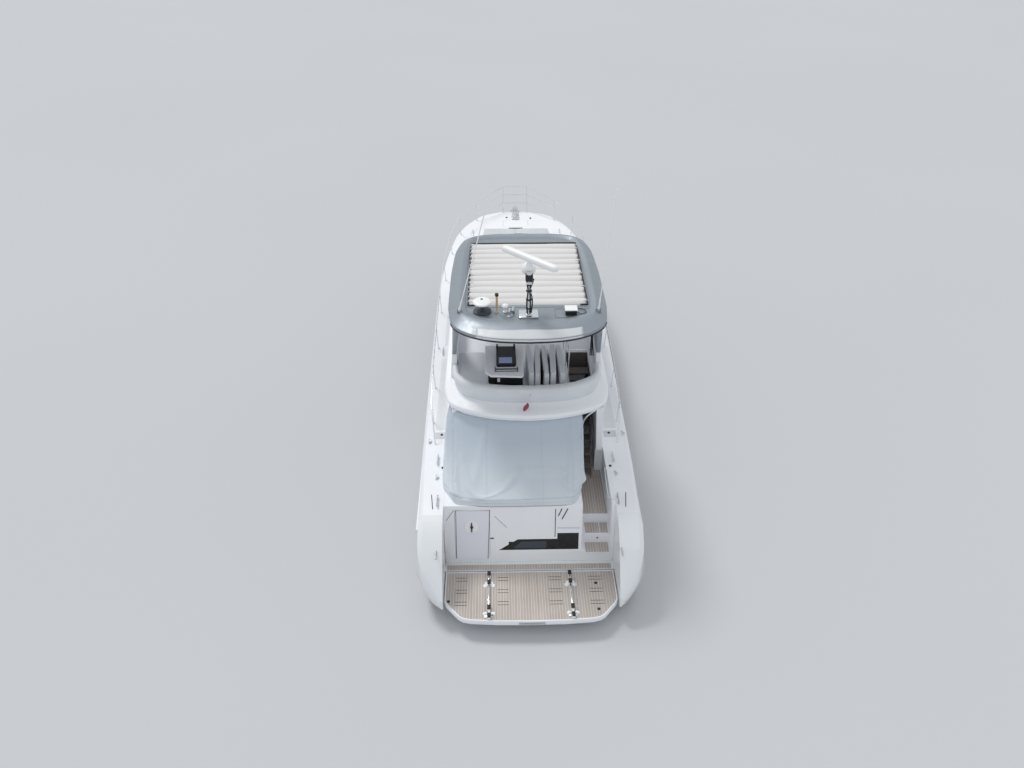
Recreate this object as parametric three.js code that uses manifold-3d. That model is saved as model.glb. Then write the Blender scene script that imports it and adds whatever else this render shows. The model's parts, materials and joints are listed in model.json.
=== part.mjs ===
// Flybridge motor yacht, 16.5 m over all, afloat with its waterline at z = 0.
// +Y is the bow, +X is starboard and +Z is up.
// The origin is at the waterline, 8.3 m ahead of the platform's edge.
// Shapes are drawn in metres and turned into millimetres when a piece is added.
import * as THREE from 'three';
import { mergeVertices } from 'three/addons/utils/BufferGeometryUtils.js';
import Module from 'manifold-3d';

const wasm = await Module();
wasm.setup();

const MM = 1000;
const GAP = 0.0003;

// Main sizes
const RUB = 0.035;
const STERN_Y = -6.65;
const LEDGE_AFT = -6.9;
const PLATFORM_TOP = 0.45;
const PLATFORM_BOTTOM = 0.22;
const WELL_HALF = 1.83;
const WING_AFT = -4.7;
const WING_INNER = 1.58;
const WING_THICK = 0.14;
const PASSAGE = { left: 1.13, right: 1.75 };
const COCKPIT_SOLE = 1.25;
const SALOON_SOLE = 1.35;
const BULKHEAD_Y = -3.87;
const FLY_FLOOR = 3.36;
const FLY_UNDER = 3.2;
const LIP_UNDER = 3.14;
const LIP_FORE = -3.955;
const FOREDECK_Y = 6.46;
const COAMING_TOP = 3.98;
const ROOF_UNDER = 5.26;
const ROOF_DECK = 5.45;

// Hull stations from stern to stem: keel height, chine, mid side, hull to deck joint, deck edge and deck height
const STATION_KEYS = [
  'y', 'keel', 'chineX', 'chineZ', 'sideX', 'sideZ', 'jointX', 'jointZ', 'shoulderX', 'deckX', 'deckZ',
];
const STATIONS = [
  [STERN_Y, -0.60, 2.02, -0.02, 2.30, 0.80, 2.385, 1.46, 2.33, 2.24, 1.88],
  [-5.0, -0.68, 2.08, 0.00, 2.33, 0.82, 2.405, 1.50, 2.38, 2.31, 1.92],
  [-2.0, -0.80, 2.12, 0.04, 2.35, 0.88, 2.425, 1.58, 2.40, 2.34, 1.99],
  [1.0, -0.80, 2.06, 0.12, 2.32, 0.98, 2.42, 1.70, 2.42, 2.36, 2.09],
  [3.5, -0.74, 1.76, 0.30, 2.12, 1.15, 2.33, 1.86, 2.36, 2.31, 2.23],
  [5.2, -0.50, 1.28, 0.55, 1.76, 1.35, 2.09, 1.98, 2.16, 2.12, 2.34],
  [6.3, -0.10, 0.84, 0.80, 1.38, 1.50, 1.77, 2.07, 1.89, 1.86, 2.42],
  [7.1, 0.62, 0.42, 1.15, 0.88, 1.70, 1.29, 2.14, 1.44, 1.41, 2.47],
  [7.5, 1.35, 0.18, 1.60, 0.50, 1.90, 0.86, 2.17, 1.02, 1.00, 2.50],
  [7.72, 1.93, 0.10, 1.97, 0.20, 2.05, 0.36, 2.18, 0.47, 0.45, 2.51],
].map((row) => Object.fromEntries(row.map((value, i) => [STATION_KEYS[i], value])));

// Quarter wings abreast of the swim platform
const WINGS = [
  { y: STERN_Y, low: 0.02, lowX: 2.20, wideX: 2.385, wideZ: 1.00, shoulderX: 2.33, topX: 2.24, top: 1.88 },
  { y: -6.86, low: 0.03, lowX: 2.22, wideX: 2.41, wideZ: 0.94, shoulderX: 2.35, topX: 2.25, top: 1.82 },
  { y: -7.15, low: 0.07, lowX: 2.22, wideX: 2.41, wideZ: 0.86, shoulderX: 2.35, topX: 2.25, top: 1.60 },
  { y: -7.42, low: 0.14, lowX: 2.15, wideX: 2.34, wideZ: 0.76, shoulderX: 2.30, topX: 2.20, top: 1.32 },
  { y: -7.66, low: 0.26, lowX: 2.03, wideX: 2.17, wideZ: 0.64, shoulderX: 2.15, topX: 2.07, top: 1.00 },
  { y: -7.90, low: 0.40, lowX: 1.86, wideX: 1.92, wideZ: 0.52, shoulderX: 1.91, topX: 1.88, top: 0.64 },
];

// Deckhouse: side profile corners and half widths at foot and roof along the boat
const HOUSE_PROFILE = [
  [WING_AFT + 0.06, 1.3], [WING_AFT, LIP_UNDER - GAP],
  [LIP_FORE + 0.005, LIP_UNDER - GAP], [LIP_FORE + 0.005, FLY_UNDER - GAP],
  [2.35, FLY_UNDER - GAP], [4.05, 2.56], [6.25, 2.52], [6.45, 2.3], [6.45, 1.3],
];
const HOUSE_WIDTHS = [
  { y: WING_AFT, foot: 1.72, roof: 1.66 },
  { y: BULKHEAD_Y, foot: 1.72, roof: 1.64 },
  { y: 1.0, foot: 1.70, roof: 1.58 },
  { y: 2.5, foot: 1.62, roof: 1.46 },
  { y: 4.1, foot: 1.40, roof: 1.24 },
  { y: 5.6, foot: 1.32, roof: 1.20 },
  { y: 6.45, foot: 1.20, roof: 1.10 },
];

// Plan outlines, starboard half, from aft to forward
const FLY_EDGE = [
  [0, -5.17], [0.6, -5.12], [1.15, -4.98], [1.50, -4.82], [1.72, -4.62], [1.82, -4.3], [1.86, -3.8],
  [1.86, -1.0],
  [1.8, 0.8], [1.62, 1.9], [1.2, 2.45], [0.6, 2.66], [0, 2.7],
];
const COAMING_EDGE = [
  [1.72, -3.72], [1.75, -1.0], [1.69, 0.8], [1.52, 1.8], [1.12, 2.28], [0.56, 2.48], [0, 2.52],
];
const RING_EDGE = [[0, -4.74], [0.6, -4.71], [1.1, -4.60], [1.43, -4.40], [1.58, -4.12], [1.62, -3.75]];
const RING_THICK = [0.22, 0.22, 0.22, 0.20, 0.13, 0.12];
const RING_TOP = 3.735;
const ROOF_EDGE = [
  [0, -5.42], [0.5, -5.39], [0.95, -5.29], [1.3, -5.10], [1.54, -4.84], [1.64, -4.4], [1.68, -3.2],
  [1.66, -2.0], [1.56, -1.1], [1.38, -0.68], [1.0, -0.52], [0, -0.46],
];

// Hardtop section from the underside up: distance in from the edge and height.
// The slope is longer at the aft end.
const ROOF_SECTION = [
  [0.10, ROOF_UNDER], [0.0, 5.33], [0.02, 5.38], [0.16, 5.465], [0.24, 5.51], [0.31, 5.50], [0.38, ROOF_DECK],
];
const ROOF_TAIL = { fore: -4.3, aft: -5.2, stretch: 0.75 };

// Flybridge moulding from its underside up, and the edges of its overhang
const FLY_SECTION = [[0.03, FLY_UNDER], [0.0, 3.24], [0.02, 3.31], [0.13, FLY_FLOOR]];

// Platform outline, starboard half, from forward to aft, and its section: distance in from the edge and height
const PLATFORM_EDGE = [
  [1.82, -6.93], [1.82, -7.72], [1.77, -7.82], [1.51, -8.13], [1.42, -8.19], [1.26, -8.23], [0.7, -8.27],
  [0, -8.28],
];
const PLATFORM_SECTION = [
  [0.14, PLATFORM_BOTTOM], [0.06, 0.29], [0.015, 0.32], [0, 0.345], [0, 0.42], [0.012, PLATFORM_TOP],
];
const PLATFORM_RIM = 0.035;

// Moving pieces
const SHAFT = { x: 1.0, radius: 0.03, foreY: -3.42, aftY: -5.98, propY: -5.86, propZ: -0.86, slope: 0.158 };
const PROP_RADIUS = 0.31;
const BLADE = [
  { r: 0.04, chord: 0.10, turn: 62, thick: 0.024 },
  { r: 0.12, chord: 0.17, turn: 45, thick: 0.018 },
  { r: 0.20, chord: 0.21, turn: 33, thick: 0.013 },
  { r: 0.27, chord: 0.18, turn: 26, thick: 0.009 },
  { r: PROP_RADIUS, chord: 0.07, turn: 23, thick: 0.005 },
];
const BRACKET_Y = -5.45;
const RUDDER = { x: 1.0, y: -6.38, top: -0.43, bottom: -1.16, gland: -0.385 };
const LIFT = {
  y: -6.72, arm: 0.5, restDeg: 40, upperZ: -0.15, lowerZ: -0.35, halfSpan: 0.5, pin: 0.018, rod: 0.022,
};
const MAST_Y = -4.53;
const SCANNER = { y: MAST_Y - 0.07, z: 6.5, half: 0.72, yawDeg: 44 };
const DISH = { x: -0.95, y: -4.38, base: 0.19, disc: 0.2, z: 5.62 };
const WHIPS = [
  { name: 'whip_port', x: -1.42, lean: 0.68 },
  { name: 'whip_stbd', x: 1.45, lean: 0.19 },
];
const WHIP = { y: -4.45, foot: 5.545, top: 8.1, radius: 0.012, hub: 0.02, pin: 0.008, ear: 0.012, gap: 0.004 };

// Cockpit canvas, from the overhang down to its hem: the outline in plan at each height,
// from port round to starboard
const CANVAS = [
  {
    z: LIP_UNDER - GAP,
    line: [
      [-1.76, -4.42], [-1.75, -4.71], [-1.50, -4.80], [-0.9, -4.95], [-0.1, -5.04],
      [0.6, -5.02], [1.0, -4.94], [1.18, -4.86], [1.22, -4.60],
    ],
  },
  {
    z: 2.78,
    line: [
      [-1.80, -4.42], [-1.78, -4.84], [-1.49, -5.16], [-0.9, -5.33], [-0.1, -5.38],
      [0.6, -5.35], [1.0, -5.30], [1.20, -5.15], [1.215, -4.60],
    ],
  },
  {
    z: 2.45,
    line: [
      [-1.84, -4.42], [-1.83, -5.16], [-1.52, -5.60], [-0.9, -5.74], [-0.1, -5.70],
      [0.6, -5.65], [1.0, -5.64], [1.19, -5.48], [1.21, -4.60],
    ],
  },
  {
    z: 2.22,
    line: [
      [-1.87, -4.42], [-1.86, -5.50], [-1.55, -5.98], [-0.9, -6.13], [-0.1, -5.95],
      [0.6, -5.89], [1.0, -5.95], [1.17, -5.78], [1.20, -4.60],
    ],
  },
  {
    z: 2.05,
    line: [
      [-1.885, -4.42], [-1.875, -5.80], [-1.56, -6.27], [-0.9, -6.37], [-0.1, -6.35],
      [0.6, -6.33], [0.95, -6.30], [1.14, -6.05], [1.20, -4.60],
    ],
  },
  {
    z: 1.88,
    line: [
      [-1.89, -4.42], [-1.88, -5.86], [-1.56, -6.36], [-0.9, -6.42], [-0.1, -6.42],
      [0.6, -6.41], [0.93, -6.39], [1.12, -6.10], [1.20, -4.60],
    ],
  },
];
const CANVAS_THICK = 0.03;

// Colours as they look in the light of the picture
const COLOURS = {
  gelcoat: { color: '#eceff1', roughness: 0.28, metalness: 0 },
  hull: { color: '#e9edf0', roughness: 0.22, metalness: 0 },
  transom: { color: '#ccd2db', roughness: 0.35, metalness: 0 },
  teak: { color: '#b7a999', roughness: 0.75, metalness: 0 },
  canvas: { color: '#c9d3dd', roughness: 0.85, metalness: 0 },
  vinyl: { color: '#bcc7ce', roughness: 0.55, metalness: 0 },
  pad: { color: '#dde1e3', roughness: 0.7, metalness: 0 },
  roof: { color: '#7d868d', roughness: 0.38, metalness: 0.5 },
  softRoof: { color: '#d3cbc6', roughness: 0.8, metalness: 0 },
  steel: { color: '#c9cdd1', roughness: 0.2, metalness: 1 },
  glass: { color: '#1b2126', roughness: 0.06, metalness: 0 },
  black: { color: '#17191b', roughness: 0.4, metalness: 0 },
  white: { color: '#f2f3f3', roughness: 0.35, metalness: 0 },
  bronze: { color: '#b08a4c', roughness: 0.35, metalness: 1 },
  dark: { color: '#3f474e', roughness: 0.5, metalness: 0 },
  joinery: { color: '#7a5f47', roughness: 0.5, metalness: 0 },
};

const boat = new THREE.Group();
boat.name = 'motor_yacht';

// Solids
function toSolid(geometry) {
  const bare = geometry.clone();
  bare.deleteAttribute('normal');
  bare.deleteAttribute('uv');
  const merged = mergeVertices(bare, 1e-6);
  const mesh = new wasm.Mesh({
    numProp: 3,
    vertProperties: Float32Array.from(merged.attributes.position.array),
    triVerts: Uint32Array.from(merged.index.array),
  });
  mesh.merge();
  return new wasm.Manifold(mesh);
}

function toGeometry(solid) {
  const mesh = solid.getMesh();
  const geometry = new THREE.BufferGeometry();
  geometry.setAttribute('position', new THREE.BufferAttribute(Float32Array.from(mesh.vertProperties), 3));
  geometry.setIndex(new THREE.BufferAttribute(Uint32Array.from(mesh.triVerts), 1));
  return geometry;
}

function union(parts) {
  return parts.reduce((sum, part) => sum.add(part));
}

const largest = (solid) => solid.decompose().sort((a, b) => b.volume() - a.volume())[0];

// Values between two points of a curve, from the points' places, values and slopes
function blendAt(t, span, from, to, slopeFrom, slopeTo) {
  const a = t * t;
  const b = a * t;
  const bend = slopeFrom * (b - 2 * a + t) + slopeTo * (b - a);
  return from * (2 * b - 3 * a + 1) + to * (3 * a - 2 * b) + span * bend;
}

// Rows or points at their places along a curve, with more put between them so that they lie on smooth lines;
// a run of equal values stays level
function smooth(places, values, steps) {
  const last = places.length - 1;
  const slope = (i, k) => {
    const rate = (j) => (values[j + 1][k] - values[j][k]) / (places[j + 1] - places[j]);
    if ((i > 0 && rate(i - 1) === 0) || (i < last && rate(i) === 0)) return 0;
    if (i === 0) return rate(0);
    if (i === last) return rate(last - 1);
    const before = places[i] - places[i - 1];
    const after = places[i + 1] - places[i];
    return (rate(i - 1) * after + rate(i) * before) / (before + after);
  };
  const keys = Object.keys(values[0]);
  const rows = [];
  for (let i = 0; i < last; i++) {
    for (let s = 0; s < steps; s++) {
      const span = places[i + 1] - places[i];
      const value = (k) => blendAt(
        s / steps, span, values[i][k], values[i + 1][k], slope(i, k), slope(i + 1, k));
      rows.push(Object.fromEntries(keys.map((k) => [k, value(k)])));
    }
  }
  rows.push({ ...values[last] });
  return rows;
}

const fairRows = (rows, steps) => smooth(rows.map((row) => row.y), rows, steps);

function fairLine(points, steps) {
  const places = [0];
  for (let i = 1; i < points.length; i++) {
    places.push(places[i - 1] + Math.hypot(points[i][0] - points[i - 1][0], points[i][1] - points[i - 1][1]));
  }
  return smooth(places, points, steps).map((row) => Object.values(row));
}

function addPiece(name, solid, finish) {
  const geometry = toGeometry(solid).toNonIndexed();
  geometry.scale(MM, MM, MM);
  geometry.computeVertexNormals();
  const mesh = new THREE.Mesh(geometry, new THREE.MeshStandardMaterial(COLOURS[finish]));
  mesh.name = name;
  boat.add(mesh);
}

// A loft through rings of equal length, closed by flat ends
function loft(rings) {
  const count = rings[0].length;
  const position = rings.flat(2);
  const index = [];
  for (let r = 0; r + 1 < rings.length; r++) {
    for (let i = 0; i < count; i++) {
      const j = (i + 1) % count;
      const a = r * count + i;
      const b = r * count + j;
      const corner = (k) => new THREE.Vector3(...position.slice(3 * k, 3 * k + 3));
      const cut = [a, b, a + count, b + count].map(corner);
      const fromA = cut[0].distanceTo(cut[3]) <= cut[1].distanceTo(cut[2]);
      if (fromA) index.push(a, b, b + count, a, b + count, a + count);
      else index.push(a, b, a + count, b, b + count, a + count);
    }
  }
  const capOf = (ring) => {
    const normal = new THREE.Vector3();
    for (let i = 0; i < count; i++) {
      const p = new THREE.Vector3(...ring[i]);
      const q = new THREE.Vector3(...ring[(i + 1) % count]);
      normal.add(p.cross(q));
    }
    normal.normalize();
    const side = Math.abs(normal.z) < 0.9 ? new THREE.Vector3(0, 0, 1) : new THREE.Vector3(1, 0, 0);
    const u = side.cross(normal).normalize();
    const v = normal.clone().cross(u);
    const flat = ring.map((p) => {
      const q = new THREE.Vector3(...p);
      return new THREE.Vector2(q.dot(u), q.dot(v));
    });
    return THREE.ShapeUtils.triangulateShape(flat, []);
  };
  const last = (rings.length - 1) * count;
  for (const [a, b, c] of capOf(rings[0])) index.push(a, c, b);
  for (const [a, b, c] of capOf(rings[rings.length - 1])) index.push(last + a, last + b, last + c);
  const geometry = new THREE.BufferGeometry();
  geometry.setAttribute('position', new THREE.BufferAttribute(Float32Array.from(position), 3));
  geometry.setIndex(index);
  const solid = toSolid(geometry);
  if (solid.volume() > 0) return solid;
  for (let i = 0; i < index.length; i += 3) [index[i], index[i + 1]] = [index[i + 1], index[i]];
  geometry.setIndex(index);
  return toSolid(geometry);
}

function box(x0, x1, y0, y1, z0, z1) {
  const geometry = new THREE.BoxGeometry(x1 - x0, y1 - y0, z1 - z0);
  geometry.translate((x0 + x1) / 2, (y0 + y1) / 2, (z0 + z1) / 2);
  return toSolid(geometry);
}

// An outline in plan, given height from z0 to z1
function slab(outline, z0, z1) {
  return loft([outline.map(([x, y]) => [x, y, z0]), outline.map(([x, y]) => [x, y, z1])]);
}

// An outline in side view (y, z), given width from x0 to x1
function profile(outline, x0, x1) {
  return loft([outline.map(([y, z]) => [x0, y, z]), outline.map(([y, z]) => [x1, y, z])]);
}

// An outline seen from astern (x, z), given length from y0 to y1
function section(outline, y0, y1) {
  return loft([outline.map(([x, z]) => [x, y0, z]), outline.map(([x, z]) => [x, y1, z])]);
}

function mirrored(half) {
  const other = half.filter(([x]) => x > 1e-6).map(([x, y]) => [-x, y]).reverse();
  return [...half, ...other];
}

// A closed outline moved inward by the same distance on every edge
function inset(outline, distance) {
  const area = outline.reduce((sum, [x, y], i) => {
    const [u, v] = outline[(i + 1) % outline.length];
    return sum + x * v - u * y;
  }, 0);
  const way = Math.sign(area);
  const edge = (i) => {
    const [x, y] = outline[(i + outline.length) % outline.length];
    const [u, v] = outline[(i + 1) % outline.length];
    const size = Math.hypot(u - x, v - y);
    return [(-way * (v - y)) / size, (way * (u - x)) / size];
  };
  return outline.map(([x, y], i) => {
    const [ax, ay] = edge(i - 1);
    const [bx, by] = edge(i);
    const share = distance / (1 + ax * bx + ay * by);
    return [x + (ax + bx) * share, y + (ay + by) * share];
  });
}

// The radius of a many-sided hole that a round pin of as many sides turns in
function bore(radius, sides) {
  return radius / Math.cos(Math.PI / sides) + GAP;
}

function circle(radius, sides, turn = 0) {
  return Array.from({ length: sides }, (_, i) => {
    const angle = (2 * Math.PI * (i + turn)) / sides;
    return [radius * Math.cos(angle), radius * Math.sin(angle)];
  });
}

// A round bar with mitred corners along a line of points
function bar(points, radius, sides = 8) {
  const p = points.map((q) => new THREE.Vector3(...q));
  const side = new THREE.Vector3();
  const rings = p.map((point, i) => {
    const back = i > 0 ? point.clone().sub(p[i - 1]).normalize() : null;
    const ahead = i + 1 < p.length ? p[i + 1].clone().sub(point).normalize() : null;
    const along = (back || ahead).clone().add(ahead || back).normalize();
    if (i === 0) side.set(Math.abs(along.z) < 0.9 ? 0 : 1, 0, Math.abs(along.z) < 0.9 ? 1 : 0);
    side.sub(along.clone().multiplyScalar(side.dot(along))).normalize();
    const other = along.clone().cross(side);
    return circle(radius, sides, 0.5).map(([u, v]) => {
      const q = point.clone().add(side.clone().multiplyScalar(u)).add(other.clone().multiplyScalar(v));
      return [q.x, q.y, q.z];
    });
  });
  return loft(rings);
}

function post(x, y, z0, z1, radius, sides = 12) {
  return slab(circle(radius, sides).map(([u, v]) => [x + u, y + v]), z0, z1);
}

// A turned solid about the vertical through x, y: the outline is radius and height, from the bottom up
function turned(outline, x, y, sides = 20) {
  const closed = [...outline, outline[0]].map(([r, z]) => new THREE.Vector2(r, z));
  const geometry = new THREE.LatheGeometry(closed, sides);
  geometry.rotateX(Math.PI / 2);
  geometry.translate(x, y, 0);
  const solid = toSolid(geometry);
  if (solid.volume() > 0) return solid;
  const flipped = toGeometry(solid);
  const index = flipped.index.array;
  for (let i = 0; i < index.length; i += 3) [index[i], index[i + 1]] = [index[i + 1], index[i]];
  return toSolid(flipped);
}

function between(table, y, key) {
  const rows = [...table].sort((a, b) => a.y - b.y);
  const i = Math.min(Math.max(rows.findIndex((row) => row.y >= y), 1), rows.length - 1);
  const t = (y - rows[i - 1].y) / (rows[i].y - rows[i - 1].y);
  return rows[i - 1][key] + t * (rows[i][key] - rows[i - 1][key]);
}

const HULL_LINES = fairRows(STATIONS, 3);
const deckZ = (y) => between(HULL_LINES, y, 'deckZ');

// Hull and deck as one shape, cut apart at their joint
function bodyRing(s) {
  const half = [
    [Math.min(0.1, s.chineX * 0.4), s.keel], [s.chineX * 0.955, s.chineZ - 0.02 - 0.01 * s.chineX],
    [s.chineX, s.chineZ], [s.sideX, s.sideZ],
    [s.jointX, s.jointZ - 0.1], [s.jointX + RUB, s.jointZ - 0.08], [s.jointX + RUB, s.jointZ - 0.01],
    [s.jointX, s.jointZ], [s.shoulderX, s.deckZ - 0.1], [s.deckX, s.deckZ],
  ];
  return [...half.map(([x, z]) => [x, s.y, z]), ...half.map(([x, z]) => [-x, s.y, z]).reverse()];
}

function wing(side) {
  return loft(fairRows(WINGS, 2).map((w) => [
    [WELL_HALF, w.low], [w.lowX, w.low], [w.wideX, w.wideZ],
    [w.shoulderX, w.top - 0.1 * Math.min(1, w.top / 1.2)],
    [w.topX, w.top], [WELL_HALF, w.top],
  ].map(([x, z]) => [side * x, w.y, z])));
}

const FACE_FOOT = [-6.72, PLATFORM_TOP];
const FACE_TOP = [-6.4, 1.88];
const faceSlope = (FACE_TOP[0] - FACE_FOOT[0]) / (FACE_TOP[1] - FACE_FOOT[1]);
const faceY = (z) => FACE_FOOT[0] + faceSlope * (z - FACE_FOOT[1]);

function wholeBoat() {
  let body = loft(HULL_LINES.map(bodyRing));
  const ledgeHalf = WELL_HALF + 0.05;
  const ledge = box(-ledgeHalf, ledgeHalf, LEDGE_AFT, STERN_Y + 0.1, PLATFORM_BOTTOM, PLATFORM_TOP);
  body = union([body, wing(1), wing(-1), ledge]);
  const aboveLedge = [[-9, PLATFORM_TOP], FACE_FOOT, [faceY(2.6), 2.6], [-9, 2.6]];
  const wellFore = WING_AFT + 0.15;
  const stairs = [
    [-9, 0.46], [-6.721, 0.46], [-6.721, 0.75], [-6.39, 0.75], [-6.39, 1.0], [-6.05, 1.0],
    [-6.05, COCKPIT_SOLE],
    [wellFore, COCKPIT_SOLE], [wellFore, 3], [-9, 3],
  ];
  const cockpit = [
    [-WELL_HALF, -5.45], [-WELL_HALF, wellFore], [-WING_INNER, wellFore], [-WING_INNER, BULKHEAD_Y - 0.09],
    [WING_INNER, BULKHEAD_Y - 0.09], [WING_INNER, wellFore - 0.01],
    [PASSAGE.left + 0.01, wellFore - 0.01], [PASSAGE.left + 0.01, -5.45],
  ];
  const seatWell = [[-1.7, -6.0], [-1.35, -6.22], [0.95, -6.22], [0.95, -5.3], [-1.7, -5.3]];
  const saloon = [
    [-1.56, BULKHEAD_Y - 0.1], [-1.56, 1.8], [-1.3, 3.2], [-0.9, 3.75],
    [0.9, 3.75], [1.3, 3.2], [1.56, 1.8], [1.56, BULKHEAD_Y - 0.1],
  ];
  const cuts = [
    profile(aboveLedge, -WELL_HALF, WELL_HALF),
    profile(stairs, PASSAGE.left, PASSAGE.right),
    slab(cockpit, COCKPIT_SOLE, 3),
    slab(seatWell, 1.58, 3),
    slab(saloon, SALOON_SOLE, 3),
  ];
  return cuts.reduce((left, cut) => left.subtract(cut), body);
}

// Everything above a line of the hull, the block that the cockpit moulding fills, and the bow
const aboveLine = (key, lift, top, tail) => {
  const corners = (low) => [[-3, low], [3, low], [3, top], [-3, top]];
  const ring = (s) => corners(s[key] + lift).map(([x, z]) => [x, s.y, z]);
  const rows = HULL_LINES.map(ring);
  return loft([...rows, rows[rows.length - 1].map(([x, , z]) => [x, tail, z])]);
};
const aboveJoint = (lift) => aboveLine('jointZ', lift, 4, 8.2);
const aboveDeck = (lift) => aboveLine('deckZ', lift, 6, 9);
const cockpitBlock = (grow) => box(
  -WELL_HALF - grow, WELL_HALF + grow, FACE_FOOT[0] - 0.05 - grow, BULKHEAD_Y - 0.09 + grow,
  PLATFORM_TOP - grow, 4);
const bowBlock = (grow) => box(-3, 3, FOREDECK_Y - grow, 9, 0, 4);

const whole = wholeBoat();
const lugs = [];
for (const side of [-1, 1]) {
  for (const edge of [-0.055, 0.03]) {
    const x0 = side * LIFT.halfSpan + edge;
    const lug = [
      [STERN_Y + 0.05, LIFT.lowerZ - 0.06], [STERN_Y + 0.05, LIFT.upperZ + 0.1],
      [LIFT.y - 0.045, LIFT.upperZ + 0.05], [LIFT.y - 0.045, LIFT.lowerZ - 0.045],
    ];
    lugs.push(profile(lug, x0, x0 + 0.025));
  }
  lugs.push(post(side * RUDDER.x, RUDDER.y, RUDDER.gland, -0.2, 0.06, 16));
}
const acrossBar = (y, z, x0, x1, radius, sides = 16) => profile(
  circle(radius, sides).map(([u, v]) => [y + u, z + v]), x0, x1);
let hull = union([whole.subtract(aboveJoint(-GAP)).subtract(cockpitBlock(GAP)), ...lugs]);
for (const z of [LIFT.upperZ, LIFT.lowerZ]) {
  hull = hull.subtract(acrossBar(LIFT.y, z, -1.2, 1.2, bore(LIFT.pin, 16)));
}
addPiece('hull', hull, 'hull');

// A plate in the sloping transom between two depths square to it, from z0 to z1
const faceAngle = Math.atan(faceSlope);
const facePoint = (z, depth) => [faceY(z) + depth * Math.cos(faceAngle), z - depth * Math.sin(faceAngle)];
const faceLayer = (outer, inner, z0, z1, x0, x1) => profile(
  [facePoint(z0, outer), facePoint(z1, outer), facePoint(z1, inner), facePoint(z0, inner)], x0, x1);
const DOOR = { x0: -1.6, x1: -0.86, z0: 0.6, z1: 1.76, thick: 0.035, seam: 0.006 };
const windowOutline = [[-0.66, 0.80], [1.06, 0.80], [1.06, 1.2], [0.6, 1.2], [0.6, 1.06], [-0.25, 1.06]];
const LOCKER = { x: 0.42, y0: 6.62, y1: 7.08, thick: 0.02 };
const { seam } = DOOR;
const doorSeat = faceLayer(
  -0.05, DOOR.thick + GAP, DOOR.z0 - seam, DOOR.z1 + seam, DOOR.x0 - seam, DOOR.x1 + seam);
const windowSeat = section(inset(windowOutline, -GAP), -7.2, -6)
  .intersect(faceLayer(-0.05, 0.012 + GAP, 0.5, 1.4, -2, 2));
const crewCabin = union([
  box(-1.6, 1.0, -6.2, -4.9, 0.3, 1.0),
  box(-1.6, 1.0, -6.2, -5.5, 0.9, 1.42),
  box(-1.52, -0.92, -7, -6.15, 0.66, 1.66),
  box(-0.45, 0.98, -7, -6.15, 0.84, 1.0),
  box(0.66, 0.98, -7, -6.15, 0.84, 1.14),
]);
const cockpit = whole.intersect(cockpitBlock(0)).subtract(union([doorSeat, windowSeat, crewCabin]));
addPiece('cockpit', largest(cockpit), 'gelcoat');

const decks = whole.intersect(aboveJoint(0)).subtract(cockpitBlock(GAP));
const lockerSlope = (deckZ(LOCKER.y1) - deckZ(LOCKER.y0)) / (LOCKER.y1 - LOCKER.y0);
const lockerZ = (y) => deckZ(LOCKER.y0) + lockerSlope * (y - LOCKER.y0);
const lidPlate = (grow, low, high) => profile([
  [LOCKER.y0 - grow, lockerZ(LOCKER.y0 - grow) + low], [LOCKER.y1 + grow, lockerZ(LOCKER.y1 + grow) + low],
  [LOCKER.y1 + grow, lockerZ(LOCKER.y1 + grow) + high], [LOCKER.y0 - grow, lockerZ(LOCKER.y0 - grow) + high],
], -LOCKER.x - grow, LOCKER.x + grow);
const locker = union([
  lidPlate(0.005, -LOCKER.thick, 0.5),
  box(-LOCKER.x + 0.04, LOCKER.x - 0.04, LOCKER.y0 + 0.04, LOCKER.y1 - 0.04, 2.2, 3),
]);
addPiece('deck', decks.subtract(bowBlock(GAP)), 'gelcoat');
addPiece('foredeck', decks.intersect(bowBlock(0)).subtract(locker), 'gelcoat');

// Transom door, window and teak
addPiece('crew_door', faceLayer(0, DOOR.thick, DOOR.z0, DOOR.z1, DOOR.x0, DOOR.x1), 'transom');

const transomWindow = section(windowOutline, -7.2, -6).intersect(faceLayer(0, 0.012, 0.5, 1.4, -2, 2));
addPiece('transom_window', transomWindow, 'glass');

const teakOutline = [
  [-WELL_HALF + 0.03, -5.42], [-WELL_HALF + 0.03, WING_AFT + 0.12], [-WING_INNER + 0.03, WING_AFT + 0.12],
  [-WING_INNER + 0.03, BULKHEAD_Y - 0.11], [WING_INNER - 0.03, BULKHEAD_Y - 0.11],
  [WING_INNER - 0.03, WING_AFT + 0.12], [PASSAGE.right - 0.02, WING_AFT + 0.12],
  [PASSAGE.right - 0.02, -6.02], [PASSAGE.left + 0.03, -6.02], [PASSAGE.left + 0.03, -5.42],
];
addPiece('cockpit_teak', slab(teakOutline, COCKPIT_SOLE + GAP, COCKPIT_SOLE + 0.012), 'teak');

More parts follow.
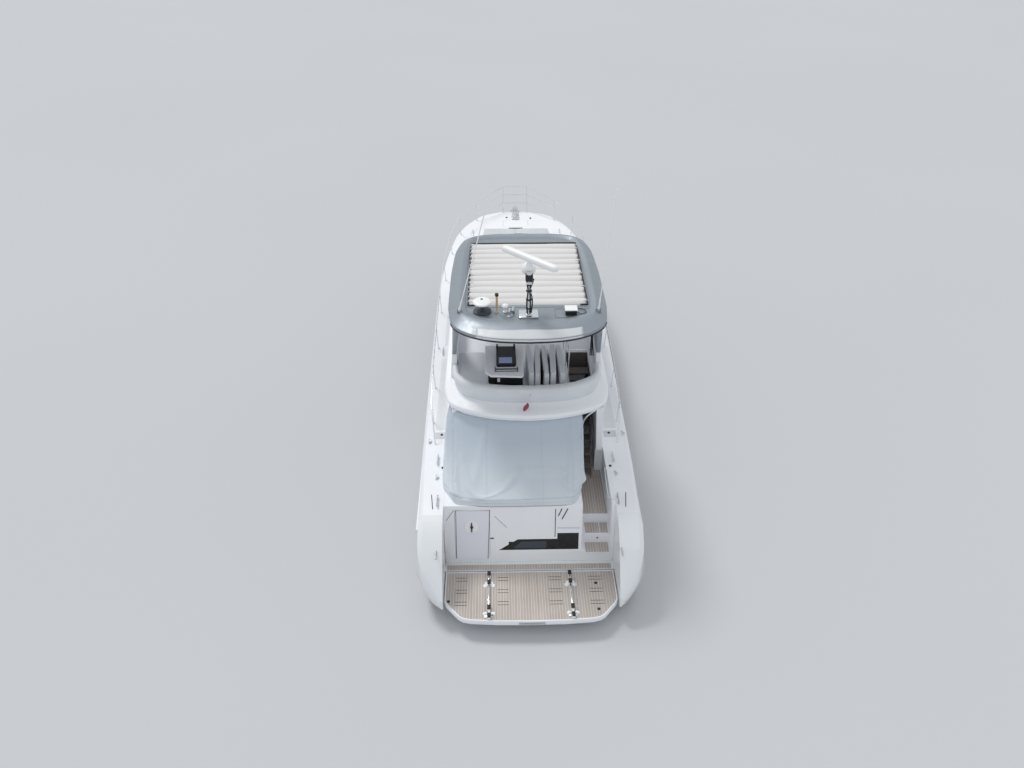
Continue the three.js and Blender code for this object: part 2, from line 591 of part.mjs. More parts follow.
// Swim platform on its lift
const platformRing = mirrored(PLATFORM_EDGE);
const teakRing = inset(platformRing, PLATFORM_RIM);
const restAngle = (LIFT.restDeg * Math.PI) / 180;
const platformPin = (z) => [LIFT.y - LIFT.arm * Math.cos(restAngle), z + LIFT.arm * Math.sin(restAngle)];
const [pinY, pinUpperZ] = platformPin(LIFT.upperZ);
const pinLowerZ = platformPin(LIFT.lowerZ)[1];
const atHeight = (ring, z) => ring.map(([x, y]) => [x, y, z]);
let platform = loft(PLATFORM_SECTION.map(([inward, z]) => atHeight(inset(platformRing, inward), z)));
platform = platform.subtract(slab(teakRing, PLATFORM_TOP - 0.012, 1));
platform = platform.subtract(box(-0.27, 0.27, -8.5, -8.17, 0.335, 0.42));
const hangers = [];
for (const side of [-1, 1]) {
  for (const edge of [-0.055, 0.03]) {
    const x0 = side * LIFT.halfSpan + edge;
    const hanger = [
      [pinY - 0.07, PLATFORM_BOTTOM + 0.02], [pinY + 0.07, PLATFORM_BOTTOM + 0.02],
      [pinY + 0.045, pinLowerZ - 0.045], [pinY - 0.045, pinLowerZ - 0.045],
    ];
    hangers.push(profile(hanger, x0, x0 + 0.025));
  }
}
platform = union([platform, ...hangers]);
for (const z of [pinUpperZ, pinLowerZ]) {
  platform = platform.subtract(acrossBar(pinY, z, -1.2, 1.2, bore(LIFT.pin, 16)));
}
for (const side of [-1, 1]) {
  const x = side * LIFT.halfSpan;
  const armSlot = [[pinY - 0.05, 0.1], [pinY - 0.05, 0.24], [-6.8, 0.41], [-6.8, 0.1]];
  platform = platform.subtract(profile(armSlot, x - 0.03, x + 0.03));
}
addPiece('platform', platform, 'gelcoat');
const platformTeak = slab(
  inset(platformRing, PLATFORM_RIM + GAP), PLATFORM_TOP - 0.012 + GAP, PLATFORM_TOP + 0.001);
addPiece('platform_teak', platformTeak, 'teak');

for (const [name, z] of [['lift_arm_upper', LIFT.upperZ], ['lift_arm_lower', LIFT.lowerZ]]) {
  const [y1, z1] = platformPin(z);
  const pieces = [];
  for (const side of [-1, 1]) {
    const x = side * LIFT.halfSpan;
    pieces.push(bar([[x, LIFT.y, z], [x, y1, z1]], LIFT.rod, 8));
    pieces.push(acrossBar(LIFT.y, z, x - 0.06, x + 0.06, LIFT.pin));
    pieces.push(acrossBar(y1, z1, x - 0.06, x + 0.06, LIFT.pin));
  }
  const cross = [LIFT.y + 0.3 * (y1 - LIFT.y), z + 0.3 * (z1 - z)];
  pieces.push(bar([[-LIFT.halfSpan, ...cross], [LIFT.halfSpan, ...cross]], 0.02, 8));
  addPiece(name, union(pieces), 'steel');
}

for (const [name, x] of [['chock_port', -0.88], ['chock_stbd', 0.85]]) {
  const top = PLATFORM_TOP + 0.001 + GAP;
  const pieces = [box(x - 0.02, x + 0.02, -8.2, -7.0, top, top + 0.05)];
  for (const y of [-7.05, -7.28, -7.95, -8.16]) {
    pieces.push(box(x - 0.035, x + 0.035, y - 0.05, y + 0.05, top, top + 0.09));
  }
  for (const y of [-7.28, -8.12]) {
    pieces.push(box(x - 0.09, x + 0.09, y - 0.045, y + 0.045, top, top + 0.018));
  }
  addPiece(name, union(pieces), 'white');
}

// Shafts, brackets, propellers and rudders
const bottomLowered = loft(HULL_LINES.map(bodyRing)).translate(0, 0, -GAP);
const shaftZ = (y) => SHAFT.propZ + (y - SHAFT.propY) * SHAFT.slope;
for (const side of [-1, 1]) {
  const tag = side < 0 ? 'port' : 'stbd';
  const x = side * SHAFT.x;
  const bracketZ = shaftZ(BRACKET_Y);
  const along = (y) => [x, y, shaftZ(y)];
  const strutRing = (z) => [[-0.014, -0.08], [0.014, -0.08], [0.014, 0.08], [-0.014, 0.08]]
    .map(([u, v]) => [x + u, BRACKET_Y + v, z]);
  const bracket = union([
    bar([along(BRACKET_Y - 0.09), along(BRACKET_Y + 0.09)], 0.052, 16),
    loft([strutRing(bracketZ + 0.03), strutRing(-0.3)]),
  ]);
  const shaftBore = bar([along(BRACKET_Y - 0.2), along(BRACKET_Y + 0.2)], bore(SHAFT.radius, 16), 16);
  addPiece(`shaft_bracket_${tag}`, bracket.subtract(bottomLowered).subtract(shaftBore), 'bronze');

  const tilt = Math.atan(SHAFT.slope);
  const bladeForm = loft(BLADE.map(({ r, chord, turn, thick }) => [
    [-0.5, 0], [-0.2, 0.5], [0.25, 0.4], [0.5, 0], [0.25, -0.4], [-0.2, -0.5],
  ].map(([u, v]) => {
    const angle = side * THREE.MathUtils.degToRad(turn);
    const [a, b] = [u * chord, v * thick];
    return [a * Math.cos(angle) - b * Math.sin(angle), a * Math.sin(angle) + b * Math.cos(angle), r];
  })));
  const blades = [];
  for (let i = 0; i < 4; i++) {
    const blade = toGeometry(bladeForm);
    blade.rotateY((i * Math.PI) / 2);
    blade.rotateX(tilt);
    blade.translate(x, SHAFT.propY, SHAFT.propZ);
    blades.push(toSolid(blade));
  }
  addPiece(`propeller_${tag}`, union([
    bar([along(SHAFT.aftY), along(SHAFT.foreY)], SHAFT.radius, 16),
    bar([along(SHAFT.propY - 0.1), along(SHAFT.propY + 0.1)], 0.065, 16),
    ...blades,
  ]), 'bronze');

  const foil = (fore, aft, thick, z) => [
    [0, fore], [0.6, 0.5 * fore], [1, 0], [0.7, 0.5 * aft], [0.15, aft],
    [-0.15, aft], [-0.7, 0.5 * aft], [-1, 0], [-0.6, 0.5 * fore],
  ].map(([u, v]) => [x + u * thick, RUDDER.y + v, z]);
  addPiece(`rudder_${tag}`, union([
    loft([foil(0.16, -0.22, 0.03, RUDDER.top), foil(0.12, -0.18, 0.02, RUDDER.bottom)]),
    post(x, RUDDER.y, RUDDER.top - 0.3, RUDDER.gland - GAP, 0.03, 12),
  ]), 'bronze');
}

// Foredeck: sunpad, hatch, locker lid, windlass, anchor and rail
const padZ = (y) => 2.56 - (y - 4.05) * 0.018;
const sunpad = loft([[4.15, 1.16], [5.5, 1.14], [6.22, 1.07]].map(([y, half]) => [
  [-half, y, padZ(y) + GAP], [half, y, padZ(y) + GAP],
  [half - 0.02, y, padZ(y) + 0.1], [-half + 0.02, y, padZ(y) + 0.1],
]));
addPiece('foredeck_sunpad', sunpad, 'pad');

addPiece('anchor_locker_lid', lidPlate(0, GAP - LOCKER.thick, 0), 'white');
addPiece('windlass', union([
  box(-0.13, 0.13, 7.14, 7.36, deckZ(7.36) + GAP, deckZ(7.36) + 0.035),
  post(-0.03, 7.25, deckZ(7.36) + 0.02, deckZ(7.36) + 0.12, 0.07, 16),
]), 'steel');
const ROLLER_Z = deckZ(7.72) + GAP;
const drumZ = deckZ(7.36) + 0.12 + GAP;
const drumOutline = [[0, 0], [0.06, 0], [0.045, 0.03], [0.045, 0.05], [0.06, 0.08], [0, 0.08]];
addPiece('windlass_drum', turned(drumOutline.map(([r, z]) => [r, drumZ + z]), -0.03, 7.25, 16), 'steel');
addPiece('anchor', union([
  box(-0.1, -0.085, 7.42, 8.0, ROLLER_Z, 2.6),
  box(0.085, 0.1, 7.42, 8.0, ROLLER_Z, 2.6),
  box(-0.1, 0.1, 7.42, 7.5, ROLLER_Z, 2.53),
  box(-0.1, 0.1, 7.76, 8.0, ROLLER_Z, 2.525),
  bar([[0, 7.46, 2.56], [0, 8.16, 2.575]], 0.03, 8),
  loft([
    [[-0.2, 7.98, 2.36], [0.2, 7.98, 2.36], [0, 8.16, 2.30]],
    [[-0.02, 8.04, 2.58], [0.02, 8.04, 2.58], [0, 8.18, 2.585]],
  ]),
  bar([[-0.1, 7.5, 2.56], [0.1, 7.5, 2.56]], 0.012, 6),
  bar([[-0.1, 7.93, 2.565], [0.1, 7.93, 2.565]], 0.012, 6),
]), 'steel');

const RAIL_RADIUS = 0.014;
const railTop = [
  [0.41, 8.08, 3.3], [1.33, 7.2, 3.12], [1.88, 6.12, 3.03], [2.13, 4.85, 2.96], [2.25, 3.2, 2.87],
  [2.28, 1.4, 2.78], [2.28, -0.4, 2.70], [2.26, -2.2, 2.64], [2.22, -3.6, 2.56],
];
const railFeet = [
  [0.42, 7.68], [1.33, 7.12], [1.84, 6.12], [2.09, 4.85], [2.22, 3.2],
  [2.26, 1.4], [2.25, -0.4], [2.23, -2.2], [2.19, -3.6],
];
const railParts = [];
for (const side of [-1, 1]) {
  const line = railTop.map(([x, y, z]) => [side * x, y, z]);
  const railEnd = [[side * 2.15, -4.15, 2.35], [side * 2.11, -4.4, deckZ(-4.4) + 0.003]];
  railParts.push(bar([[0, 8.08, 3.3], ...line, ...railEnd], RAIL_RADIUS, 6));
  railFeet.forEach(([x, y], i) => {
    railParts.push(bar([[side * x, y, deckZ(y) + 0.004], line[i]], RAIL_RADIUS - 0.001, 6));
    railParts.push(post(side * x, y, deckZ(y + 0.03) + 0.0006, deckZ(y + 0.03) + 0.012, 0.03, 8));
  });
  for (const drop of [0.25, 0.5]) {
    const at = (i) => {
      const share = drop / (railTop[i][2] - deckZ(railFeet[i][1]));
      const plan = [0, 1].map((k) => railTop[i][k] + share * (railFeet[i][k] - railTop[i][k]));
      return [...plan, railTop[i][2] - drop * (i === 0 ? 1 : 0.85)];
    };
    const [fx, fy, fz] = at(0);
    const [sx, sy, sz] = at(1);
    railParts.push(bar([[0, fy, fz], [side * fx, fy, fz], [side * sx, sy, sz]], RAIL_RADIUS - 0.002, 6));
  }
}
addPiece('bow_rail', union(railParts).intersect(aboveDeck(GAP)), 'steel');

// Deckhouse, a hollow shell with its windows cut
function houseTaper(shrink) {
  return loft(fairRows(HOUSE_WIDTHS, 3).map(({ y, foot, roof }) => {
    const at = (z) => foot + ((roof - foot) * (z - 2.0)) / 1.2 - shrink;
    return [[-at(1.2), y, 1.2], [at(1.2), y, 1.2], [at(3.4), y, 3.4], [-at(3.4), y, 3.4]];
  }));
}
const WALL = 0.06;
const innerProfile = [[-3.94, 1.2], [-3.94, 3.13], [2.32, 3.13], [3.86, 2.5], [3.86, 1.2]];
const sideWindow = [[-3.45, 2.34], [2.9, 2.42], [2.35, 2.92], [2.1, 3.02], [-3.3, 2.98]];
const screenHalf = [[0, 0], [1.28, 0], [1.12, 1], [0, 1]];
const screenLow = [3.82, 2.56];
const screenHigh = [2.5, 3.14];
let house = houseTaper(0).intersect(profile(HOUSE_PROFILE, -2, 2)).intersect(aboveDeck(GAP));
house = house.subtract(houseTaper(WALL).intersect(profile(innerProfile, -2, 2)));
house = house.subtract(houseTaper(WING_THICK).intersect(box(-2, 2, -5, -3.93, 1.2, 3.35)));
const sideCut = union([profile(sideWindow, 1.2, 2), profile(sideWindow, -2, -1.2)]);
const screenCut = (inset) => {
  const ring = mirrored(screenHalf.map(([x, t]) => [Math.max(x - (x > 0 ? inset : 0), 0), t]));
  const at = ([x, t], lift) => {
    const share = t === 0 ? inset / 1.44 : 1 - inset / 1.44;
    const [y, z] = [0, 1].map((k) => screenLow[k] + (screenHigh[k] - screenLow[k]) * share);
    return [x, y, z + lift];
  };
  return loft([ring.map((p) => at(p, -0.3)), ring.map((p) => at(p, 0.3))]);
};
house = house.subtract(sideCut).subtract(screenCut(0)).subtract(box(0.95, 1.56, -4.2, -2.62, 3.0, 3.4));
house = union([
  house,
  box(0.9, 0.93, BULKHEAD_Y, -2.55, SALOON_SOLE + GAP, 3.16),
  box(0.9, 1.5, -2.58, -2.55, SALOON_SOLE + GAP, 3.16),
]);
addPiece('deckhouse', house, 'gelcoat');

const glassLayer = houseTaper(0.02).subtract(houseTaper(0.032));
for (const [name, x0, x1] of [['side_glass_port', -2, -1.2], ['side_glass_stbd', 1.2, 2]]) {
  addPiece(name, profile(inset(sideWindow, 0.001), x0, x1).intersect(glassLayer), 'glass');
}
const screenPlane = (drop) => [
  [screenLow[0] + 0.5, screenLow[1] - 0.5 * 0.44 - drop],
  [screenHigh[0] - 0.5, screenHigh[1] + 0.5 * 0.44 - drop],
];
const [lowOut, highOut] = screenPlane(0.0);
const [lowIn, highIn] = screenPlane(0.014);
addPiece('windscreen', screenCut(GAP).intersect(profile([lowOut, highOut, highIn, lowIn], -2, 2)), 'glass');

// Saloon aft glazing with its sliding door, and the pieces seen through the glass
const saloonPane = box(-1.5, -0.34, BULKHEAD_Y + 0.03, BULKHEAD_Y + 0.045, SALOON_SOLE + GAP, 3.13 - GAP);
addPiece('saloon_pane', saloonPane, 'glass');
const doorFrame = box(-0.36, 0.86, BULKHEAD_Y - 0.03, BULKHEAD_Y + 0.01, SALOON_SOLE + GAP, 3.13 - GAP)
  .subtract(box(-0.3, 0.8, BULKHEAD_Y - 0.1, BULKHEAD_Y + 0.1, SALOON_SOLE + 0.1, 3.04));
addPiece('saloon_door_frame', doorFrame, 'steel');
const doorGlass = box(-0.2995, 0.7995, BULKHEAD_Y - 0.016, BULKHEAD_Y - 0.006, SALOON_SOLE + 0.1005, 3.0395);
addPiece('saloon_door_glass', doorGlass, 'glass');
const stairs = [];
const stepCount = 8;
for (let i = 0; i < stepCount; i++) {
  const z = COCKPIT_SOLE + 0.24 + i * 0.232;
  const y = -4.66 + i * 0.215;
  stairs.push(box(0.99, 1.49, y - 0.11, y + 0.13, z - 0.015, z + 0.015));
}
for (const x of [0.98, 1.48]) {
  const foot = COCKPIT_SOLE + 0.0125;
  const stringer = [[-4.86, foot], [-4.7, foot], [-2.86, 3.18], [-3.02, 3.18]];
  stairs.push(profile(stringer, x, x + 0.02));
}
addPiece('fly_stairs', union(stairs), 'steel');
const helmSide = [[2.3, SALOON_SOLE + GAP], [3.0, SALOON_SOLE + GAP], [3.1, 2.2], [2.6, 2.42], [2.3, 2.2]];
addPiece('lower_helm', profile(helmSide, 0.3, 1.3), 'dark');
addPiece('lower_seat', union([
  box(0.45, 1.15, 1.1, 1.6, SALOON_SOLE + GAP, 1.85),
  box(0.45, 1.15, 1.05, 1.2, 1.8, 2.5),
]), 'vinyl');
addPiece('saloon_sofa', union([
  box(-1.48, -0.75, -3.2, 0.8, SALOON_SOLE + GAP, 1.8),
  box(-1.48, -1.25, -3.2, 0.8, 1.75, 2.25),
]), 'vinyl');
addPiece('galley_counter', box(0.75, 1.45, -2.4, -0.2, SALOON_SOLE + GAP, 2.27), 'joinery');

// Flybridge moulding
const flyRing = mirrored(fairLine(FLY_EDGE, 3));
const flySlab = loft(FLY_SECTION.map(([inward, z]) => inset(flyRing, inward).map(([x, y]) => [x, y, z])));
const lip = slab(inset(flyRing, 0.06), LIP_UNDER, FLY_UNDER + 0.05).intersect(box(-3, 3, -6, LIP_FORE, 3, 3.3));
const coamingRing = (inset) => {
  const narrowed = ([x, y]) => [x > 0 ? x - inset : 0, y > 0 ? y - inset * (y / 2.5) : y];
  return mirrored(fairLine(COAMING_EDGE, 3).map(narrowed));
};
const openAft = (ring, z) => ring.map(([x, y]) => [x, y - (y < -3 ? 0.5 : 0), z]);
const coaming = loft([atHeight(coamingRing(0), FLY_FLOOR - 0.02), atHeight(coamingRing(0.05), COAMING_TOP)])
  .subtract(loft([openAft(coamingRing(0.15), FLY_FLOOR), openAft(coamingRing(0.17), 4.2)]));
const stairHole = box(0.97, 1.5, -4.1, -2.7, 3, 3.6);
addPiece('flybridge', union([flySlab, lip, coaming]).subtract(stairHole), 'gelcoat');

// Upholstered ring around the aft end of the flybridge, leaning outboard
const RING_LINE = fairLine(RING_EDGE.map(([x, y], i) => [x, y, RING_THICK[i]]), 3);
function ringBand(share, lean) {
  return RING_LINE.map(([x, y, thick], i) => {
    const before = RING_LINE[Math.max(i - 1, 0)];
    const after = RING_LINE[Math.min(i + 1, RING_LINE.length - 1)];
    const dx = i === 0 ? 1 : after[0] - before[0];
    const dy = i === 0 ? 0 : after[1] - before[1];
    const size = Math.hypot(dx, dy);
    const out = lean - share * thick;
    return [x + (dy / size) * out, y - (dx / size) * out];
  });
}
const ringSection = [
  [0, 0, FLY_FLOOR + GAP], [0, 0.04, RING_TOP - 0.07], [0.2, 0.045, RING_TOP - 0.01],
  [0.75, 0.045, RING_TOP], [1, 0.03, RING_TOP - 0.07], [0.95, 0, FLY_FLOOR + GAP],
];
const ringRings = [];
const bands = ringSection.map(([share, lean, z]) => ringBand(share, lean).map(([x, y]) => [x, y, z]));
for (let i = RING_LINE.length - 1; i > 0; i--) {
  ringRings.push(bands.map((band) => [-band[i][0], band[i][1], band[i][2]]));
}
for (let i = 0; i < RING_LINE.length; i++) {
  ringRings.push(bands.map((band) => (i === 0 ? [0, band[i][1], band[i][2]] : band[i])));
}
const seat = [[-1.53, -3.1], [-1.53, -3.9], [-1.36, -4.2], [-0.96, -4.45], [-0.96, -3.1]];
addPiece('fly_settee', union([loft(ringRings), slab(seat, FLY_FLOOR + GAP, 3.64)]), 'vinyl');
const counter = [[-0.93, -3.2], [-0.93, -4.25], [-0.8, -4.42], [-0.12, -4.46], [-0.08, -4.4], [-0.08, -3.2]];
addPiece('fly_bar', union([
  slab(counter, 3.82, 3.87),
  box(-0.8, -0.16, -4.3, -3.3, FLY_FLOOR + GAP, 3.83),
]), 'gelcoat');
addPiece('fly_grill', box(-0.68, -0.24, -4.05, -3.35, 3.87 + GAP, 3.95), 'black');
const standingCushion = (i) => box(
  i * 0.172, 0.173 + i * 0.172, -4.36 + 0.02 * (i % 2), -3.1, FLY_FLOOR + GAP, 3.86 - 0.02 * (i % 3));
addPiece('stored_cushions', union([0, 1, 2, 3, 4].map(standingCushion)), 'vinyl');
const railLoop = [[-4.0, FLY_FLOOR + GAP], [-4.0, 4.2], [-2.6, 4.25], [-2.6, FLY_FLOOR + GAP]];
addPiece('stair_rail', union([
  bar(railLoop.map(([y, z]) => [0.93, y, z]), 0.014, 6),
  bar([[0.93, -3.3, 3.8], [1.5, -3.3, 3.8]], 0.014, 6),
  bar([[0.93, -3.3, FLY_FLOOR + GAP], [0.93, -3.3, 4.22]], 0.014, 6),
]), 'steel');
const WHEEL = { x: -0.32, y: 0.84, z: 3.98, tiltDeg: 58, hubDepth: 0.075 };
const wheelPoint = (along) => {
  const tilt = THREE.MathUtils.degToRad(WHEEL.tiltDeg);
  return [WHEEL.x, WHEEL.y + along * Math.sin(tilt), WHEEL.z - along * Math.cos(tilt)];
};
const consoleSide = [[0.9, FLY_FLOOR + GAP], [1.95, FLY_FLOOR + GAP], [1.95, 4.0], [1.35, 4.12], [0.95, 3.85]];
addPiece('fly_helm', union([
  profile(consoleSide, -1.0, 0.35),
  bar([wheelPoint(WHEEL.hubDepth + GAP), wheelPoint(0.3)], 0.036, 16),
]), 'gelcoat');
addPiece('fly_helm_seat', union([
  box(-0.95, 0.3, -0.35, 0.15, FLY_FLOOR + GAP, 3.85),
  box(-0.95, 0.3, -0.45, -0.3, 3.8, 4.35),
]), 'vinyl');

function wheel(name, x, y, z, tiltDeg) {
  const rim = new THREE.TorusGeometry(0.19, 0.014, 6, 24);
  const parts = [toSolid(rim)];
  for (let i = 0; i < 3; i++) {
    const spoke = new THREE.BoxGeometry(0.03, 0.19, 0.012);
    spoke.translate(0, 0.095, 0);
    spoke.rotateZ((i * 2 * Math.PI) / 3);
    parts.push(toSolid(spoke));
  }
  const hub = new THREE.CylinderGeometry(0.04, 0.04, 0.09, 16);
  hub.rotateX(Math.PI / 2);
  hub.translate(0, 0, -0.03);
  parts.push(toSolid(hub));
  const geometry = toGeometry(union(parts));
  geometry.rotateX(THREE.MathUtils.degToRad(tiltDeg));
  geometry.translate(x, y, z);
  addPiece(name, toSolid(geometry), 'dark');
}
wheel('fly_wheel', WHEEL.x, WHEEL.y, WHEEL.z, WHEEL.tiltDeg);

const screenLine = [[1.63, 0.6], [1.47, 1.7], [1.06, 2.18], [0.54, 2.37], [0, 2.41]];
const screenRing = (shift, z) => {
  const half = screenLine.map(([x, y]) => [x > 0 ? x - shift * 0.8 : 0, y > 0.7 ? y - shift : y, z]);
  return [...half, ...half.filter(([x]) => x > 0).map(([x, y, h]) => [-x, y, h]).reverse()];
};
const screenSide = (z, shift, thick) => [...screenRing(shift, z), ...screenRing(shift + thick, z).reverse()];
const screenBand = loft([screenSide(COAMING_TOP + GAP, 0, 0.014), screenSide(4.14, 0.08, 0.014)]);
addPiece('fly_windscreen', screenBand, 'glass');

// Hardtop, soft roof and arch
const roofRing = mirrored(fairLine(ROOF_EDGE, 3));
const hole = [-1.25, 1.25, -4.12, -1.16];
const tailShare = (y) => Math.min(Math.max((ROOF_TAIL.fore - y) / (ROOF_TAIL.fore - ROOF_TAIL.aft), 0), 1);
let roof = loft(ROOF_SECTION.map(([inward, z]) => inset(roofRing, inward).map(([x, y], i) => {
  const longer = inward * ROOF_TAIL.stretch * tailShare(roofRing[i][1]);
  return [x, y + longer, z];
})));
roof = roof.subtract(box(hole[0], hole[1], hole[2], hole[3], ROOF_UNDER + 0.08, 6));
roof = roof.subtract(box(hole[0] + 0.06, hole[1] - 0.06, hole[2] + 0.06, hole[3] - 0.06, 5, 6));
for (const whip of WHIPS) {
  for (const side of [-1, 1]) {
    const near = whip.x + side * (WHIP.hub + 0.01 + WHIP.gap);
    const far = near + side * WHIP.ear;
    const [earLeft, earRight] = [Math.min(near, far), Math.max(near, far)];
    roof = roof.add(box(earLeft, earRight, WHIP.y - 0.035, WHIP.y + 0.035, ROOF_DECK - 0.07, WHIP.foot + 0.03));
  }
  roof = roof.subtract(acrossBar(WHIP.y, WHIP.foot, whip.x - 0.1, whip.x + 0.1, bore(WHIP.pin, 12), 12));
}
const LEG_FOOT = [[1.575, -3.7], [1.665, -3.7], [1.68, -2.7], [1.585, -2.7]];
const LEG_HEAD = [[1.42, -4.74], [1.52, -4.74], [1.60, -3.75], [1.48, -3.75]];
for (const side of [-1, 1]) {
  const foot = LEG_FOOT.map(([x, y]) => [side * x, y, COAMING_TOP + GAP]);
  const head = LEG_HEAD.map(([x, y]) => [side * x, y, ROOF_UNDER + 0.04]);
  roof = roof.add(loft([foot, head]));
}
addPiece('hardtop', roof, 'roof');
const softRoof = box(
  hole[0] + 0.005, hole[1] - 0.005, hole[2] + 0.005, hole[3] - 0.005, ROOF_UNDER + 0.08 + GAP, 5.49);
addPiece('soft_roof', softRoof, 'softRoof');
for (const [name, side] of [['roof_post_port', -1], ['roof_post_stbd', 1]]) {
  const foot = [[1.59, -0.25], [1.65, -0.25], [1.65, -0.03], [1.59, -0.03]];
  const head = [[1.34, -1.25], [1.40, -1.25], [1.40, -1.1], [1.34, -1.1]];
  const ends = [atHeight(foot, COAMING_TOP + GAP), atHeight(head, ROOF_UNDER - GAP)];
  addPiece(name, loft(ends.map((ring) => ring.map(([x, y, z]) => [side * x, y, z]))), 'roof');
}

// Roof gear
const mastParts = [
  box(-0.2, 0.2, MAST_Y - 0.15, MAST_Y + 0.17, ROOF_DECK + GAP, ROOF_DECK + 0.03),
  post(0, MAST_Y, ROOF_DECK + 0.02, 6.27, 0.045, 12),
  post(0, SCANNER.y, 6.22, SCANNER.z, 0.06, 12),
  box(-0.06, 0.06, SCANNER.y - 0.08, MAST_Y + 0.25, 6.22, 6.28),
  turned([[0, 6.28], [0.17, 6.28], [0.19, 6.34], [0.18, 6.42], [0.1, 6.48], [0, 6.5]], 0, MAST_Y + 0.3, 20),
];
addPiece('mast', union(mastParts), 'steel');
const scannerGeometry = toGeometry(union([
  box(-SCANNER.half, SCANNER.half, -0.075, 0.075, 0.19, 0.33),
  post(0, 0, 0, 0.22, 0.05, 16),
]));
scannerGeometry.rotateZ(THREE.MathUtils.degToRad(-SCANNER.yawDeg));
scannerGeometry.translate(0, SCANNER.y, SCANNER.z + GAP);
addPiece('radar_scanner', toSolid(scannerGeometry), 'white');
addPiece('sat_dish', union([
  post(DISH.x, DISH.y, ROOF_DECK + GAP, ROOF_DECK + 0.05, DISH.base, 20),
  post(DISH.x, DISH.y, ROOF_DECK + 0.04, DISH.z + 0.02, 0.04, 10),
  turned([
    [0, DISH.z], [0.08, DISH.z], [DISH.disc - 0.005, DISH.z + 0.06], [DISH.disc, DISH.z + 0.08],
    [0, DISH.z + 0.1],
  ], DISH.x, DISH.y, 24),
]), 'white');
for (const whip of WHIPS) {
  const lean = whip.lean / (WHIP.top - WHIP.foot);
  const at = (z) => [whip.x + lean * (z - WHIP.foot), WHIP.y, z];
  addPiece(whip.name, union([
    bar([at(WHIP.foot), at(WHIP.foot + 0.2)], WHIP.hub - 0.002, 8),
    bar([at(WHIP.foot + 0.1), at(WHIP.top)], WHIP.radius, 6),
    acrossBar(WHIP.y, WHIP.foot, whip.x - WHIP.hub - 0.01, whip.x + WHIP.hub + 0.01, WHIP.hub, 12),
    acrossBar(WHIP.y, WHIP.foot, whip.x - WHIP.hub - 0.028, whip.x + WHIP.hub + 0.028, WHIP.pin, 12),
  ]), 'white');
}

// Canvas over the cockpit, from the flybridge overhang to the transom
const canvasForm = (shrink, ahead) => {
  const rows = CANVAS.map(({ z, line }) => inset(line, shrink).map(([x, y], i) => {
    const atFront = i === 0 || i === line.length - 1;
    return [x, atFront ? y + ahead : y, z];
  }));
  const raised = rows[0].map(([x, y, z]) => [x, y, z + ahead]);
  const lowered = rows[rows.length - 1].map(([x, y, z]) => [x, y, z - ahead]);
  return loft([raised, ...rows, lowered]);
};
const underLip = box(-3, 3, -8, -4.4, 1, LIP_UNDER - GAP);
const canvas = canvasForm(0, 0.1).intersect(underLip).subtract(canvasForm(CANVAS_THICK, 0.4));
addPiece('canvas_cover', canvas.intersect(aboveDeck(GAP)), 'canvas');

export default boat;
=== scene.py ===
# Looks of a flybridge motor yacht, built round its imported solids.
# Metres; +Y is the bow, +X is starboard, +Z is up, and the waterline is at z = 0.
import json
import math

import bmesh
import bpy
from mathutils import Matrix, Vector, noise
from mathutils.bvhtree import BVHTree

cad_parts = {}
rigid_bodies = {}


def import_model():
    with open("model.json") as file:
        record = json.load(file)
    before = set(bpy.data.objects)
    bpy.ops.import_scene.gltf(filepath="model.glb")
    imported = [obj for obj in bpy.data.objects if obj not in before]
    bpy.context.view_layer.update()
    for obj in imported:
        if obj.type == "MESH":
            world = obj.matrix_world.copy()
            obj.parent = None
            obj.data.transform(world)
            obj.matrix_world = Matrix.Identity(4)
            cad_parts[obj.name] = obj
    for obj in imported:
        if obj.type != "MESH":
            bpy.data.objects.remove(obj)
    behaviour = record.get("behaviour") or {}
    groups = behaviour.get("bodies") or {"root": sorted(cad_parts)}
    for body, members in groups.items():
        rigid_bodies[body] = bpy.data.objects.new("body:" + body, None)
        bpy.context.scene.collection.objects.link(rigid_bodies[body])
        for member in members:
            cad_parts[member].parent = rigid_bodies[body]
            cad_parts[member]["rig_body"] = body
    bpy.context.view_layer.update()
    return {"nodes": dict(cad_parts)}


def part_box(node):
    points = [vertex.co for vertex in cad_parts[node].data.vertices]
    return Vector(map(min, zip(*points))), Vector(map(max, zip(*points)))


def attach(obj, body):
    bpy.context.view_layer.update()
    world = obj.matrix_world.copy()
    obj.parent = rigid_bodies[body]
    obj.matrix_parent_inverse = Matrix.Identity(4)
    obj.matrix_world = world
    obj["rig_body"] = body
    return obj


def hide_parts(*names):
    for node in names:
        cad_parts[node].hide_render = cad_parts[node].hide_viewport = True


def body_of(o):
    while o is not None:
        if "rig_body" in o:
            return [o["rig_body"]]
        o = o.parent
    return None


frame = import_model()

# Heights shared with the solids, and the transom's sloping face: its foot (y, z) and its slope
PLATFORM_TOP = 0.45
FLY_FLOOR = 3.36
ROOF_DECK = 5.45
FACE_FOOT = (-6.72, 0.45)
FACE_SLOPE = 0.32 / 1.43

UP = Vector((0, 0, 1))
DOWN = -UP
ABOVE_ALL = 6.0


# Camera

CAMERA = {
    "place": (-0.6165, -18.925, 13.8), "pitch": 35.0, "yaw": 1.1003, "focal_px": 807.0, "width_px": 1024.0,
}


def add_camera():
    data = bpy.data.cameras.new("camera")
    data.sensor_width = 36.0
    data.lens = data.sensor_width * CAMERA["focal_px"] / CAMERA["width_px"]
    data.clip_end = 500.0
    camera = bpy.data.objects.new("camera", data)
    bpy.context.scene.collection.objects.link(camera)
    camera.location = CAMERA["place"]
    camera.rotation_euler = (math.radians(90 - CAMERA["pitch"]), 0, math.radians(-CAMERA["yaw"]))
    bpy.context.scene.camera = camera


add_camera()


# Materials

